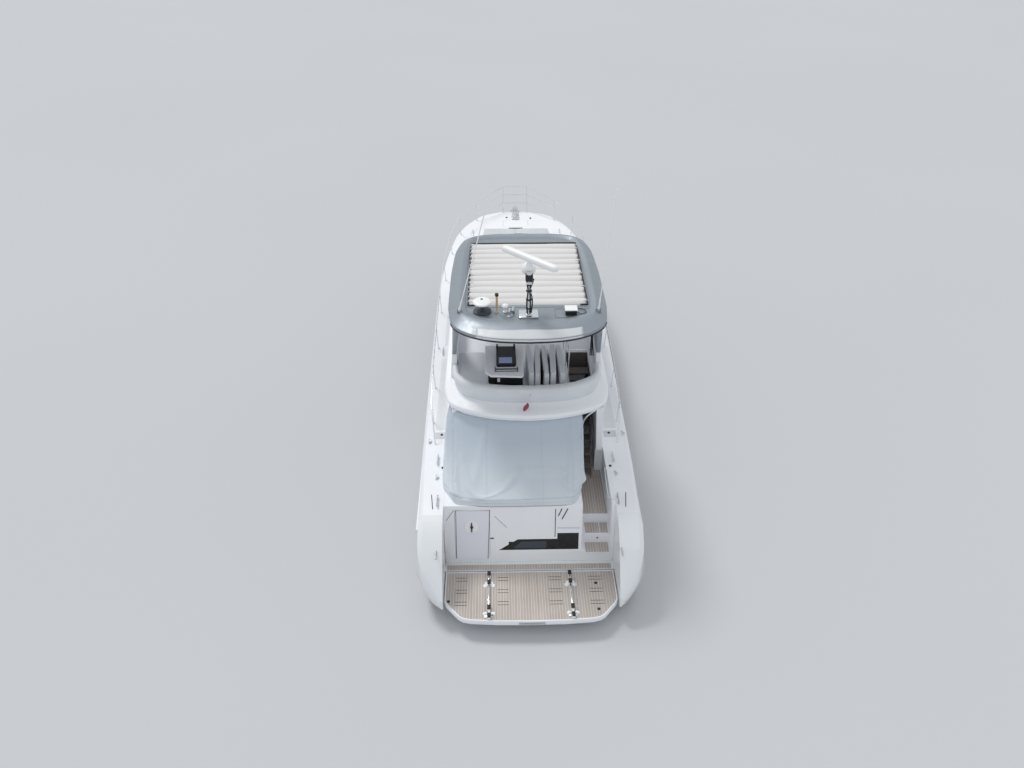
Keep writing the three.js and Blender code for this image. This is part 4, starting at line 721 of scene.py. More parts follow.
def add_soft_roof():
    half, start, low = ROOF_HOLE["x"], ROOF_HOLE["y0"], ROOF_HOLE["low"]
    length = ROOF_HOLE["y1"] - start
    crown = 0.012
    rise = ROOF_HOLE["high"] - low - crown
    rows = []
    for share in shares(PLEATS * STEPS_PER_PLEAT):
        row = []
        for x in (half * (2 * across - 1) for across in shares(ROOF_COLUMNS)):
            wave = 0.05 * noise.noise(Vector((x * 1.1, share * 7.0, 0.3))) + 0.012 * math.sin(x * 1.7)
            at = min(max(share + wave / length, 0.0), 0.9999)
            z = low + rise * pleat_height(at) + crown * (1 - (x / half) ** 2)
            row.append(Vector((x, start + length * share, z)))
        rows.append(row)
    sheet = Kit().rings(rows, closed=False).make_sheet(
        "pleated_roof", "soft_roof", 0.002, offset=-1, replaces=["soft_roof"], sharp=50,
    )
    track = Kit()
    foot = ROOF_DECK - 0.01
    end = start + length + 0.01
    for side in (-1, 1):
        x = side * (half + 0.012)
        track.block((x - 0.016, start - 0.01, foot), (x + 0.016, end, ROOF_DECK + 0.028), 0.004)
    track.block((-1.26, -1.175, foot), (1.26, -1.13, ROOF_DECK + 0.03), 0.004)
    for x in (-1.18, 1.18):
        track.block((x - 0.08, -4.15, foot), (x + 0.08, -4.11, ROOF_DECK + 0.02), 0.004)
    track.make("roof_tracks", "black")
    ties = Kit()
    for i in range(ROOF_TIES):
        y = start + length * (i + 0.5) / ROOF_TIES
        for side in (-1,) if i % 3 else (-1, 1):
            loop = [(side * (half + out), y + ahead, ROOF_DECK + 0.03 + up) for out, ahead, up in TIE_LOOP]
            ties.tube(curve_line(loop, 4), 0.008, 6)
    ties.make("roof_ties", "white")


add_soft_roof()


# Cushions and pads

CUSHION_CUTS = 14
CUSHION_ROUNDING = 0.035
# The stored flybridge cushions: from x, to x, top, lean in degrees
STORED = [
    (0.0, 0.168, 3.855, 2.0), (0.172, 0.335, 3.84, -1.5), (0.345, 0.51, 3.825, 1.0),
    (0.516, 0.685, 3.855, -2.0), (0.69, 0.858, 3.84, 1.5),
]
# The sunpad's pairs of quarters: name, from y, to y, width at each
SUNPAD = [("aft", 4.16, 5.30, 1.15, 1.135), ("fore", 5.33, 6.21, 1.135, 1.06)]
SUNPAD_CELLS = 16


def cushion(name, low, high, shader="vinyl", crown=0.02, pull=0.012, replaces=(), turn=None, flat=2):
    """A crowned closed form whose sides pull in between its corners. Its large faces look along axis flat."""
    low, high = Vector(low), Vector(high)
    half, middle = (high - low) / 2, (high + low) / 2
    rounding = CUSHION_ROUNDING
    bm = bmesh.new()
    bmesh.ops.create_cube(bm, size=2.0)
    bmesh.ops.subdivide_edges(bm, edges=bm.edges, cuts=CUSHION_CUTS, use_grid_fill=True)
    inner = Vector([max(h - pull - rounding, 0.001) for h in half])
    inner[flat] = max(half[flat] - crown - rounding, 0.001)
    first, second = (k for k in range(3) if k != flat)
    for v in bm.verts:
        unit = v.co.copy()
        p = Vector([unit[k] * (inner[k] + rounding) for k in range(3)])
        core = Vector([min(max(p[k], -inner[k]), inner[k]) for k in range(3)])
        off = p - core
        if off.length > 1e-9:
            p = core + off.normalized() * rounding
        p[flat] += unit[flat] * crown * (1 - unit[first] ** 2) * (1 - unit[second] ** 2)
        for k, other in ((first, second), (second, first)):
            p[k] += math.copysign(pull, unit[k]) * abs(unit[k]) ** 6 * unit[other] ** 4
        ripple = noise.noise(p * 5.0 + middle) * 0.006 + noise.noise(p * 16.0) * 0.0018
        p += unit.normalized() * ripple * min(1.0, crown / 0.02)
        v.co = middle + (turn @ p if turn else p)
    obj = finish(to_object(name, bm, 80), shader, replaces=replaces)


def sun_panel(name, side, y0, y1, w0, w1, replaces):
    """One quarter of the sunpad on the coach roof, which slopes down forward."""
    top, bottom = [], []
    for t in shares(SUNPAD_CELLS):
        y = y0 + (y1 - y0) * t
        base = 2.56 - (y - 4.05) * 0.018
        upper, lower = [], []
        for s in shares(SUNPAD_CELLS):
            x = side * (0.012 + (w0 + (w1 - w0) * t - 0.02) * s)
            across, along = 2 * min(s, 1 - s), 2 * min(t, 1 - t)
            crown = (1 - (1 - across) ** 8) * (1 - (1 - along) ** 8)
            ripple = 0.003 * noise.noise(Vector((x * 4, y * 4, 0)))
            thick = crown * (0.045 + 0.018 * across * along + ripple)
            upper.append((x, y, base + 0.03 + thick))
            lower.append((x, y, base + 0.002))
        top.append(upper)
        bottom.append(lower)
    Kit().slab(top, bottom).make(name, "pad", replaces=replaces, sharp=60)


def add_seats():
    cushion("sofa_seat", (-1.48, -3.2, 1.36), (-0.75, 0.8, 1.8), replaces=["saloon_sofa"], crown=0.03)
    cushion("sofa_back", (-1.47, -3.15, 1.78), (-1.22, 0.75, 2.24), flat=0)
    cushion("helm_stool", (0.45, 1.1, 1.36), (1.15, 1.6, 1.85), replaces=["lower_seat"])
    cushion("helm_stool_back", (0.45, 1.05, 1.83), (1.15, 1.22, 2.5), flat=1)
    Kit().block((-0.94, -0.34, FLY_FLOOR + 0.0005), (0.29, 0.14, 3.70), 0.02).make("fly_seat_base", "gelcoat")
    low, high = (-0.95, -0.3, 3.70), (0.3, 0.15, 3.86)
    cushion("fly_seat_cushion", low, high, crown=0.015, replaces=["fly_helm_seat"])
    cushion("fly_seat_back", (-0.95, -0.45, 3.78), (0.3, -0.29, 4.35), flat=1, crown=0.015)
    for i, (x0, x1, top, lean) in enumerate(STORED):
        low, high = (x0, -4.33, FLY_FLOOR + 0.002), (x1 - 0.012, -3.12, top)
        turn = Matrix.Rotation(math.radians(lean), 3, "Z")
        stands_for = ["stored_cushions"] if i == 0 else ()
        cushion(f"stored_cushion_{i + 1}", low, high, "vinyl_light", 0.018, 0.015, stands_for, turn, flat=0)
    for end, y0, y1, w0, w1 in SUNPAD:
        for side, word in ((-1, "port"), (1, "stbd")):
            stands_for = ["foredeck_sunpad"] if (end, word) == ("aft", "port") else ()
            sun_panel(f"sunpad_{end}_{word}", side, y0, y1, w0, w1, stands_for)


add_seats()


# Upholstered ring round the aft end of the flybridge, and the seat inside it

# Starboard half of the ring from its middle: x, y, thickness
RING_EDGE = [
    (0, -4.74, 0.22), (0.6, -4.71, 0.22), (1.1, -4.60, 0.22), (1.43, -4.40, 0.20), (1.58, -4.12, 0.13),
    (1.62, -3.75, 0.12),
]
# Its section: share of the thickness inward, lean outboard, height
RING_SECTION = [
    (0.0, 0.0, 3.362), (0.0, 0.02, 3.47), (-0.02, 0.035, 3.58), (0.0, 0.045, 3.66), (0.06, 0.05, 3.70),
    (0.2, 0.05, 3.73), (0.45, 0.045, 3.745), (0.72, 0.045, 3.742), (0.92, 0.04, 3.715), (1.0, 0.03, 3.67),
    (0.98, 0.02, 3.55), (0.95, 0.0, 3.362),
]
RING_PIPING = (3, 9)
STEPS_PER_SEAM = 16
SETTEE_OUTLINE = [(-1.53, -3.1), (-1.53, -3.9), (-1.36, -4.2), (-0.96, -4.45), (-0.96, -3.1)]
SETTEE_MIDDLE = Vector((-1.24, -3.7))
# Its levels: share of the outline, height
SETTEE_LEVELS = [
    (1.0, 3.362), (1.0, 3.50), (0.985, 3.51), (1.0, 3.52), (1.0, 3.60), (0.97, 3.63), (0.88, 3.643),
    (0.5, 3.648), (0.05, 3.65),
]


def add_ring():
    half = curve_line(RING_EDGE, 8)
    line = [Vector((-p.x, p.y, p.z)) for p in reversed(half[1:])] + half
    rings = []
    for i, p in enumerate(line):
        before, after = line[max(i - 1, 0)], line[min(i + 1, len(line) - 1)]
        way = Vector((after.x - before.x, after.y - before.y)).normalized()
        from_seam = i % STEPS_PER_SEAM - STEPS_PER_SEAM / 2
        groove = 0.006 * math.exp(-(from_seam / 1.2) ** 2)
        ring = []
        for share, lean, z in RING_SECTION:
            seam = groove if z > 3.4 else 0.0
            out = lean - share * p.z - seam * (1 if share < 0.5 else -1)
            lift = 0.003 * noise.noise(Vector((p.x * 3, p.y * 3, z))) - seam * 0.5
            ring.append(Vector((p.x + way.y * out, p.y - way.x * out, z + (lift if z > 3.5 else 0))))
        rings.append(ring)
    Kit().rings(rings).make("backrest_ring", "vinyl", replaces=["fly_settee"], sharp=70)
    piping = Kit()
    for index in RING_PIPING:
        piping.tube([ring[index] for ring in rings], 0.006, 6)
    piping.make("ring_piping", "vinyl_light")


def add_settee():
    """Light seat to port, inside the ring: a moulded base and its cushion."""
    outline = curve_line([*SETTEE_OUTLINE, SETTEE_OUTLINE[0]], 4)[:-1]
    rings = []
    for share, z in SETTEE_LEVELS:
        rings.append([(*(SETTEE_MIDDLE + (p - SETTEE_MIDDLE) * share), z) for p in outline])
    Kit().rings(rings).make("settee_seat", "vinyl", sharp=60)


add_ring()
add_settee()


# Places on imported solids

def node_tree(node):
    mesh = frame["nodes"][node].data
    return BVHTree.FromPolygons([v.co for v in mesh.vertices], [p.vertices for p in mesh.polygons])


HULL_TREE = node_tree("hull")
ROOF_TREE = node_tree("hardtop")
DECK_TREES = [*(node_tree(node) for node in ("deck", "foredeck", "cockpit")), HULL_TREE]


def deck_height(x, y):
    """Height of the deck solids at a place."""
    hits = [tree.ray_cast(Vector((x, y, ABOVE_ALL)), DOWN)[0] for tree in DECK_TREES]
    return max(hit.z for hit in hits if hit)


def roof_height(x, y):
    hit = ROOF_TREE.ray_cast(Vector((x, y, ABOVE_ALL)), DOWN)[0]
    return hit.z if hit else None


def roof_aft_edge(x):
    """Where the hardtop ends at the stern."""
    y = -5.46
    while roof_height(x, y) is None:
        y += 0.004
    return y


FACE_NORMAL = Vector((0, -1, FACE_SLOPE)).normalized()


def on_face(x, z, out=0.0):
    """A point on the sloping transom, moved off it by out."""
    y = FACE_FOOT[0] + FACE_SLOPE * (z - FACE_FOOT[1])
    return Vector((x, y, z)) + FACE_NORMAL * out


# Mast, radar and the gear on the hardtop

MAST_Y = -4.53
# The mast's cables: x and y from the post, and how far each bows
CABLES = ((0.055, 0.0, 0.02), (-0.03, -0.05, -0.015), (0.03, -0.05, 0.01))
CABLE_TIES_Z = (5.62, 5.82, 6.02, 6.16)
SCANNER = {
    "at": Vector((0, -4.60, 6.5)), "yaw": -44.0, "half": 0.715, "wide": 0.073, "tall": 0.068, "middle": 0.26,
}
# Its end: share of the half length, share of the section
SCANNER_END = [(1.0, 0.3), (0.98, 0.72), (0.92, 0.93), (0.84, 1.0), (0.2, 1.0)]
# Turned outlines: radius, height
MAST_POST = [(0.08, 0.03), (0.08, 0.045), (0.055, 0.06), (0.045, 0.09), (0.045, 0.775)]
RADOME = [
    (0.0, 0.0), (0.13, 0.0), (0.146, 0.02), (0.15, 0.05), (0.146, 0.10), (0.128, 0.145), (0.094, 0.18),
    (0.045, 0.2), (0.0, 0.205),
]
SCANNER_NECK = [(0.045, 0.001), (0.07, 0.02), (0.075, 0.06), (0.065, 0.13), (0.05, 0.17), (0.045, 0.21)]
# Turned fittings on the hardtop: piece, shader, place, sides, angle of a crisp edge, outline
ROOF_FITTINGS = [
    ("dish_base", "dark", (-0.95, -4.38, ROOF_DECK), 36, 35, [
        (0.185, 0.0004), (0.19, 0.01), (0.185, 0.03), (0.16, 0.045), (0.05, 0.05), (0.04, 0.07),
        (0.036, 0.17),
    ]),
    ("dish_disc", "white", (-0.95, -4.38, ROOF_DECK + 0.165), 40, 50, [
        (0.0, 0.0), (0.08, 0.0), (0.15, 0.02), (0.192, 0.05), (0.198, 0.065), (0.192, 0.078), (0.15, 0.092),
        (0.08, 0.1), (0.0, 0.102),
    ]),
    ("dish_hub", "dark", (-0.96, -4.33, ROOF_DECK + 0.262), 16, 35, [
        (0.0, 0.0), (0.028, 0.0), (0.028, 0.008), (0.0, 0.011),
    ]),
    ("light_stem", "tan", (-0.65, -4.43, ROOF_DECK), 16, 35, [
        (0.03, 0.001), (0.03, 0.02), (0.012, 0.03), (0.012, 0.14), (0.024, 0.15), (0.024, 0.38),
        (0.018, 0.39),
    ]),
    ("light_cap", "black", (-0.65, -4.43, ROOF_DECK + 0.385), 20, 35, [
        (0.02, 0.0), (0.036, 0.008), (0.04, 0.03), (0.036, 0.06), (0.0, 0.07),
    ]),
    ("gps_mushroom", "white", (-0.48, -4.40, ROOF_DECK), 24, 50, [
        (0.045, 0.001), (0.045, 0.012), (0.02, 0.02), (0.02, 0.10), (0.05, 0.11), (0.07, 0.135),
        (0.06, 0.165), (0.03, 0.182), (0.0, 0.187),
    ]),
]
HORN_BELL = [(0.018, 0.0), (0.02, 0.16), (0.03, 0.21), (0.055, 0.25), (0.058, 0.255), (0.02, 0.235)]
LAMP_LEAD = [(1.09, -4.53), (1.19, -4.45), (1.15, -4.33), (1.04, -4.30)]
HATCH_SEAM = [(0.55, -4.66), (1.18, -4.66), (1.30, -4.50), (1.30, -4.30), (0.55, -4.30), (0.55, -4.66)]
PANEL_ROWS = (0.0, 0.15, 0.3, 0.45, 0.6, 0.75, 0.9, 1.0)
PANEL_FOOT_Z = 5.346
GASKET_Z = 5.322


def add_mast():
    post = Kit()
    post.block((-0.2, -4.68, ROOF_DECK + 0.0004), (0.2, -4.36, ROOF_DECK + 0.03), 0.006)
    post.lathe(MAST_POST, (0, MAST_Y, ROOF_DECK))
    post.block((-0.06, -4.68, 6.22), (0.06, -4.28, 6.28), 0.008)
    post.lathe([(0.06, 0.0), (0.06, 0.2), (0.055, 0.219)], (0, -4.60, 6.28))
    post.make("mast_post", "steel", replaces=["mast"])
    cables = Kit()
    for x, off, bend in CABLES:
        y = MAST_Y + off
        route = [
            (x, y, ROOF_DECK + 0.03), (x + bend, y - 0.01, 5.8), (x - bend, y, 6.05),
            (x + bend, y - 0.02, 6.2), (x * 1.6, -4.66, 6.34),
        ]
        cables.tube(curve_line(route, 6), 0.012, 6)
    for z in CABLE_TIES_Z:
        cables.lathe([(0.062, -0.008), (0.064, 0.0), (0.062, 0.008)], (0.004, MAST_Y - 0.015, z), sides=16)
    cables.block((-0.075, -4.67, 6.285), (0.075, -4.53, 6.42), 0.012)
    cables.make("mast_cables", "black")
    Kit().lathe(RADOME, (0, -4.23, 6.282), sides=32).make("radome", "white", sharp=50)


def add_scanner():
    yaw = math.radians(SCANNER["yaw"])
    along = Vector((math.cos(yaw), math.sin(yaw), 0))
    across = Vector((-along.y, along.x, 0))
    middle = SCANNER["at"] + UP * SCANNER["middle"]
    section = []
    for a in angles(20):
        u, w = (math.copysign(abs(value) ** 0.75, value) for value in (math.cos(a), math.sin(a)))
        section.append(across * u * SCANNER["wide"] + UP * w * SCANNER["tall"])
    rings = []
    for share, size in [(-share, size) for share, size in SCANNER_END] + SCANNER_END[::-1]:
        centre = middle + along * share * SCANNER["half"]
        rings.append([centre + p * size for p in section])
    bar = Kit().rings(rings).lathe(SCANNER_NECK, SCANNER["at"])
    bar.make("radar_bar", "white", "radar_scanner", ["radar_scanner"], sharp=50)


def add_roof_fittings():
    for name, shader, at, sides, sharp, outline in ROOF_FITTINGS:
        stands_for = ["sat_dish"] if name == "dish_base" else ()
        Kit().lathe(outline, at, sides=sides).make(name, shader, replaces=stands_for, sharp=sharp)
    horn = Kit()
    for x, y in ((-0.38, -4.36), (-0.31, -4.30)):
        horn.lathe(HORN_BELL, (x, y, ROOF_DECK + 0.055), axis=(-0.12, -1, 0), sides=20)
        horn.tube([(x, y - 0.09, ROOF_DECK + 0.0005), (x, y - 0.09, ROOF_DECK + 0.05)], 0.012, 8)
    horn.make("horn_trumpets", "steel")
    box = Kit().block((0.76, -4.58, ROOF_DECK + 0.001), (0.99, -4.39, ROOF_DECK + 0.11), 0.012)
    box.make("lamp_box", "black")
    lid = Kit().block((0.745, -4.595, ROOF_DECK + 0.111), (1.005, -4.375, ROOF_DECK + 0.135), 0.01)
    lid.make("lamp_lid", "white")
    lead = [(0.99, -4.48, ROOF_DECK + 0.04), *level(ROOF_DECK + 0.012, LAMP_LEAD)]
    Kit().tube(curve_line(lead, 6), 0.008, 8).make("lamp_lead", "dark")
    seams = Kit()
    for line in (HATCH_SEAM, [(-1.3, -4.22), (1.3, -4.22)]):
        seams.tube(level(ROOF_DECK + 0.0005, line), 0.004, 6)
    seams.make("roof_seams", "dark")


def add_roof_edge():
    """Pale panel on the aft slope of the hardtop, and the rubber line along its edge."""
    places = [-1.07 + 2.14 * share for share in shares(40)]
    rows = [[Vector((x, roof_aft_edge(x) - 0.003, PANEL_FOOT_Z)) for x in places]]
    for share in PANEL_ROWS:
        row = []
        for x in places:
            y = roof_aft_edge(x) + 0.02 + share * (0.26 - 0.05 * abs(x))
            row.append(Vector((x, y, roof_height(x, y) + 0.003)))
        rows.append(row)
    Kit().rings(rows, closed=False).make_sheet("roof_aft_panel", "roof_pale", 0.003, offset=-1)
    line = [(x, roof_aft_edge(x) + 0.004, GASKET_Z) for x in (-1.6 + 3.2 * share for share in shares(40))]
    Kit().tube(curve_line(line, 2), 0.017, 8).make("roof_gasket", "rubber")


add_mast()
add_scanner()
add_roof_fittings()
add_roof_edge()


# Transom: window pane, seams, vents, painted shade lines along its folds and the door's handle

PANE_OUTLINE = [(-0.352, 0.845), (0.364, 0.835), (0.364, 1.015), (-0.18, 1.01)]
# Lines by piece and shader: points (x, z), distance off the face, radius
FACE_LINES = {
    ("transom_vents", "black"): [
        ([(0.552, 1.789), (0.548, 1.113)], 0.001, 0.008),
        ([(0.687, 1.797), (0.614, 1.622)], 0.002, 0.011),
        ([(0.812, 1.795), (0.692, 1.544)], 0.002, 0.011),
        ([(-1.586, 0.60), (-1.572, 1.79), (-0.85, 1.78), (-0.903, 0.59)], 0.0, 0.006),
    ],
    # painted shade: grey lines along the folds of the transom moulding
    ("transom_crease_shade", "painted_shade_line"): [
        ([(-1.61, 1.795), (-1.78, 1.544)], 0.0, 0.006),
        ([(0.594, 1.329), (1.08, 1.321)], 0.0, 0.005),
        ([(-0.745, 1.629), (-0.484, 1.351)], 0.0, 0.005),
    ],
}
HANDLE = {"x": -1.242, "z": 1.383, "lever": (1.27, 1.49)}
HANDLE_CUP = [(0.0, 0.001), (0.14, 0.001), (0.15, 0.006), (0.144, 0.013), (0.12, 0.014), (0.0, 0.008)]
HANDLE_KNOB = [(0.03, 0.008), (0.034, 0.02), (0.03, 0.036), (0.0, 0.04)]


def add_transom():
    pane = [[on_face(x, z, out) for x, z in PANE_OUTLINE] for out in (0.003, 0.006)]
    Kit().rings(pane).make("transom_pane", "pane")
    for (name, shader), lines in FACE_LINES.items():
        kit = Kit()
        for points, out, radius in lines:
            kit.tube([on_face(x, z, out) for x, z in points], radius, 6)
        kit.make(name, shader)
    x, centre = HANDLE["x"], on_face(HANDLE["x"], HANDLE["z"])
    Kit().lathe(HANDLE_CUP, centre, FACE_NORMAL, 36).make("handle_cup", "white", "crew_door")
    lever = Kit().tube([on_face(x, z, 0.026) for z in HANDLE["lever"]], 0.013, 8)
    lever.lathe(HANDLE_KNOB, centre, FACE_NORMAL, 20).make("door_lever", "black", "crew_door")
    middle = on_face(-0.809, 1.098, 0.001)
    latch = Kit().block(middle - Vector((0.038, 0.01, 0.012)), middle + Vector((0.038, 0.004, 0.012)), 0.004)
    latch.make("door_latch", "black")


add_transom()


# Swim platform: marks in the teak, chocks, ladder end, and the teak of the ledge and the steps

MARK_COLUMNS = ((-1.59, -1.34), (-0.705, -0.47), (0.39, 0.66), (1.24, 1.53))
MARK_ROWS = (-7.15, -7.48, -7.80)
MARK_PAIR = (-0.042, 0.042)
CHOCKS = (-0.88, 0.85)
CHOCK_TOP = 0.505
CHOCK_PADS_Y = (-7.05, -7.28, -7.95, -8.16)
CHOCK_FEET_Y = (-7.33, -8.07)
CHOCK_FOOT = [(0.0, 0.001), (0.048, 0.001), (0.05, 0.008), (0.04, 0.02), (0.0, 0.024)]
PLATFORM_STUDS = ((-1.726, -7.737), (1.394, -7.293), (1.389, -7.984))
# Steps beside the transom: from x, aft edge, forward edge, top
STEPS = ((1.235, -6.365, -6.06, 1.0), (1.217, -6.69, -6.41, 0.75))


def add_platform_details():
    marks = Kit()
    for x0, x1 in MARK_COLUMNS:
        for y in (row + shift for row in MARK_ROWS for shift in MARK_PAIR):
            marks.block((x0, y - 0.005, PLATFORM_TOP + 0.0005), (x1, y + 0.005, PLATFORM_TOP + 0.0035), 0.001)
    for x in CHOCKS:
        for y in CHOCK_PADS_Y:
            marks.block((x - 0.038, y - 0.053, CHOCK_TOP), (x + 0.038, y + 0.053, CHOCK_TOP + 0.04), 0.008)
    marks.block((-0.21, -8.20, 0.345), (0.19, -8.175, 0.405), 0.006)
    for x, y in PLATFORM_STUDS:
        marks.stud((x, y, PLATFORM_TOP + 0.0005), 0.034, 0.02, 0.001, 0.005, 0.008, 20)
    marks.make("platform_marks", "rubber", "swim_platform")
    feet = Kit()
    for x in (chock + side for chock in CHOCKS for side in (-0.08, 0.08)):
        for y in CHOCK_FEET_Y:
            feet.lathe(CHOCK_FOOT, (x, y, PLATFORM_TOP), sides=20)
    feet.make("chock_feet", "white", "swim_platform")
    bright = Kit()
    for x in CHOCKS:
        for y0, y1 in ((-7.9, -7.34), (-7.22, -7.11)):
            bright.block((x - 0.016, y0, 0.5015), (x + 0.016, y1, 0.512), 0.003)
        bright.block(
            (x - 0.092, -8.165, PLATFORM_TOP + 0.019), (x + 0.092, -8.085, PLATFORM_TOP + 0.024), 0.002,
        )
    bright.tube([(0.95, -8.05, 0.47), (0.95, -7.15, 0.47)], 0.008, 8)
    for x in (-0.27, 0.23):
        bright.block((x - 0.02, -8.215, 0.33), (x + 0.02, -8.18, 0.40), 0.004)
    bright.make("chock_bright", "steel", "swim_platform")
    inner_side = 1.725
    teak_strips = Kit()
    teak_strips.block((-1.79, -6.885, PLATFORM_TOP + 0.0005), (1.77, -6.745, PLATFORM_TOP + 0.007), 0.002)
    for x, aft, fore, top in STEPS:
        teak_strips.block((x, aft, top), (inner_side, fore, top + 0.012), 0.002)
    teak_strips.make("ledge_and_step_teak", "teak")
    edges = Kit().block((1.54, -6.362, 1.0), (1.552, -6.063, 1.014), 0.001)
    for x, y, z in ((1.235, -6.372, 1.004), (1.217, -6.70, 0.754)):
        edges.tube([(x, y, z), (inner_side, y, z)], 0.007, 6)
    edges.make("step_nosings", "white")
    light = [(0.0, 0.0), (0.02, 0.0), (0.02, 0.006), (0.0, 0.008)]
    Kit().lathe(light, (1.496, -6.391, 0.883), axis=(0, -1, 0), sides=16).make("step_light", "black")


add_platform_details()


# Deck hardware

CLEATS = [
    (-2.02, -4.97), (1.948, -4.938), (-1.96, -6.29), (1.894, -6.284), (-1.952, -7.341), (1.87, -7.329),
    (-2.12, -0.6), (2.12, -0.6), (-1.45, 6.2), (1.45, 6.2),
]
CLEAT_LENGTH = 0.32
CLEAT_HEIGHT = 0.055
CLEAT_FOOT = [(0.028, 0.0005), (0.026, 0.008), (0.014, 0.014), (0.012, 0.05)]
# Its horns: share of the length, lift
CLEAT_HORNS = ((-0.5, 0.012), (-0.38, 0.002), (-0.2, 0.0), (0.2, 0.0), (0.38, 0.002), (0.5, 0.012))
FAIRLEADS = [(-2.01, -5.51), (1.947, -5.449), (-2.24, -4.295), (2.28, -4.074)]
# Its line: across in metres, along as a share of the length
FAIRLEAD_LINE = [(-0.03, -0.5), (0.02, -0.3), (0.03, 0.0), (-0.02, 0.25), (-0.01, 0.5)]
FAIRLEAD_LENGTH = 0.14
PASSAGE_RAIL = [(1.70, -5.30, 1.96), (1.68, -5.8, 1.965), (1.67, -6.28, 1.96)]
PASSAGE_FRAME = [(1.69, -4.62, 3.15), (1.47, -4.65, 3.04), (1.28, -4.69, 2.87), (1.215, -4.71, 2.6)]
PADS = ((1.83, 2.12, -4.19, -3.96), (-2.16, -1.86, -4.19, -3.96))
GRIP_STRIPS = ((1.86, 2.14, -3.86, -0.9), (1.88, 2.08, -0.3, 2.6))
RAIL_FEET_Y = (-5.32, -6.26)
QUARTER_LINES = ([(2.086, -6.05), (2.029, -6.48)], [(-2.10, -6.05), (-2.05, -6.48)])
DECK_CAPS = ((1.95, -4.05), (-1.98, -4.05), (1.85, -5.2), (-1.9, -5.2))
BOW_CAPS = ((-0.30, 7.28), (0.52, 7.22))


def cleat(kit, x, y):
    """A two-horned mooring cleat on two feet, fore and aft."""
    z = deck_height(x, y)
    for end in (-0.3, 0.3):
        kit.lathe(CLEAT_FOOT, (x, y + CLEAT_LENGTH * end, z), sides=12)
    horns = [(x, y + CLEAT_LENGTH * share, z + CLEAT_HEIGHT + lift) for share, lift in CLEAT_HORNS]
    kit.tube(curve_line(horns, 3), 0.019)


def fairlead(kit, x, y):
    """A low S-shaped lead for a line."""
    z = deck_height(x, y) + 0.018
    line = [(x + across, y + along * FAIRLEAD_LENGTH, z) for across, along in FAIRLEAD_LINE]
    kit.tube(curve_line(line, 4), 0.016, 8)


def deck_patch(kit, x0, x1, y0, y1, thick, cells):
    """A thin pad that follows the deck."""
    steps = shares(cells)
    places = [[(x0 + (x1 - x0) * s, y0 + (y1 - y0) * t) for s in steps] for t in steps]
    low = [[Vector((x, y, deck_height(x, y) + 0.0005)) for x, y in row] for row in places]
    kit.slab([[p + UP * thick for p in row] for row in low], low)


def add_hardware():
    kit = Kit()
    for x, y in CLEATS:
        cleat(kit, x, y)
    for x, y in FAIRLEADS:
        fairlead(kit, x, y)
    kit.tube(curve_line(PASSAGE_RAIL, 4), 0.014)
    for y in RAIL_FEET_Y:
        kit.tube([(1.69, y, 1.955), (1.775, y, deck_height(1.82, y) - 0.01)], 0.01, 8)
    kit.tube(curve_line(PASSAGE_FRAME, 5), 0.02)
    kit.make("mooring_cleats", "steel")
    pads = Kit()
    for sides in PADS:
        deck_patch(pads, *sides, 0.004, 6)
    pads.make("deck_pads", "nonskid", sharp=30)
    grip = Kit()
    for side in (-1, 1):
        for inner, outer, y0, y1 in GRIP_STRIPS:
            deck_patch(grip, side * inner, side * outer, y0, y1, 0.003, 24)
    grip.make("deck_nonskid", "grip", sharp=30)
    caps = Kit()
    for x, y in DECK_CAPS:
        caps.stud((x, y, deck_height(x, y) + 0.004), 0.03, 0.018, 0.001, 0.012, 0.018)
    for x, y in BOW_CAPS:
        caps.stud((x, y, deck_height(x, y)), 0.03, 0.012, 0.0, 0.02, 0.03)
    for ends in QUARTER_LINES:
        caps.tube([(x, y, deck_height(x, y) + 0.001) for x, y in ends], 0.009, 6)
    vent_z = deck_height(0, 6.5)
    caps.block((-0.24, 6.45, vent_z - 0.002), (0.23, 6.55, vent_z + 0.004), 0.001)
    caps.make("deck_caps", "rubber")


add_hardware()


# Flybridge details round the bar, the grill and the stair well

# Black boxes about the grill, with painted shade as a dark apron under the counter and dark sheets between
# the stored cushions: low corner, high corner, rounding
GRILL_FRAME_AND_SHADE = [
    # painted shade: a dark apron under the counter's overhang
    ((-0.86, -4.325, 3.40), (-0.10, -4.302, 3.81), 0.01),
    ((-0.68, -3.45, 3.87), (-0.64, -3.40, 4.04), 0.005),
    ((-0.29, -3.45, 3.87), (-0.25, -3.40, 4.04), 0.005),
    ((-0.66, -4.09, 3.871), (-0.27, -4.052, 3.945), 0.008),
    ((-0.712, -4.28, 3.872), (-0.688, -4.10, 3.895), 0.004),
    ((-0.227, -4.28, 3.872), (-0.203, -4.10, 3.895), 0.004),
    ((-0.69, -4.27, 3.871), (-0.22, -4.12, 3.876), 0.002),
    # painted shade: dark sheets in the gaps between the stored cushions
    ((0.329, -4.22, FLY_FLOOR + 0.003), (0.337, -3.25, 3.80), 0.002),
    ((0.505, -4.22, FLY_FLOOR + 0.003), (0.513, -3.25, 3.80), 0.002),
]
STRAPS = ((1.45, 0.03), (1.49, 0.01), (1.53, -0.02))
FLAG_STAFF = [(-0.11, -5.03, 3.28), (0.04, -5.0, 3.74)]


def furled_flag():
    """A small flag rolled round its staff, as rings from its foot to its head."""
    rings = []
    for share in shares(6):
        spread = 0.05 * math.sin(math.pi * (0.15 + 0.75 * share))
        middle = Vector((-0.085 + 0.07 * share, -5.045, 3.37 + 0.2 * share))
        ring = []
        for a in angles(10):
            reach = spread * (1 + 0.25 * math.sin(3 * a + 2.6 * share))
            ring.append(middle + Vector((math.cos(a) * reach, math.sin(a) * reach * 0.6, 0)))
        rings.append(ring)
    return rings


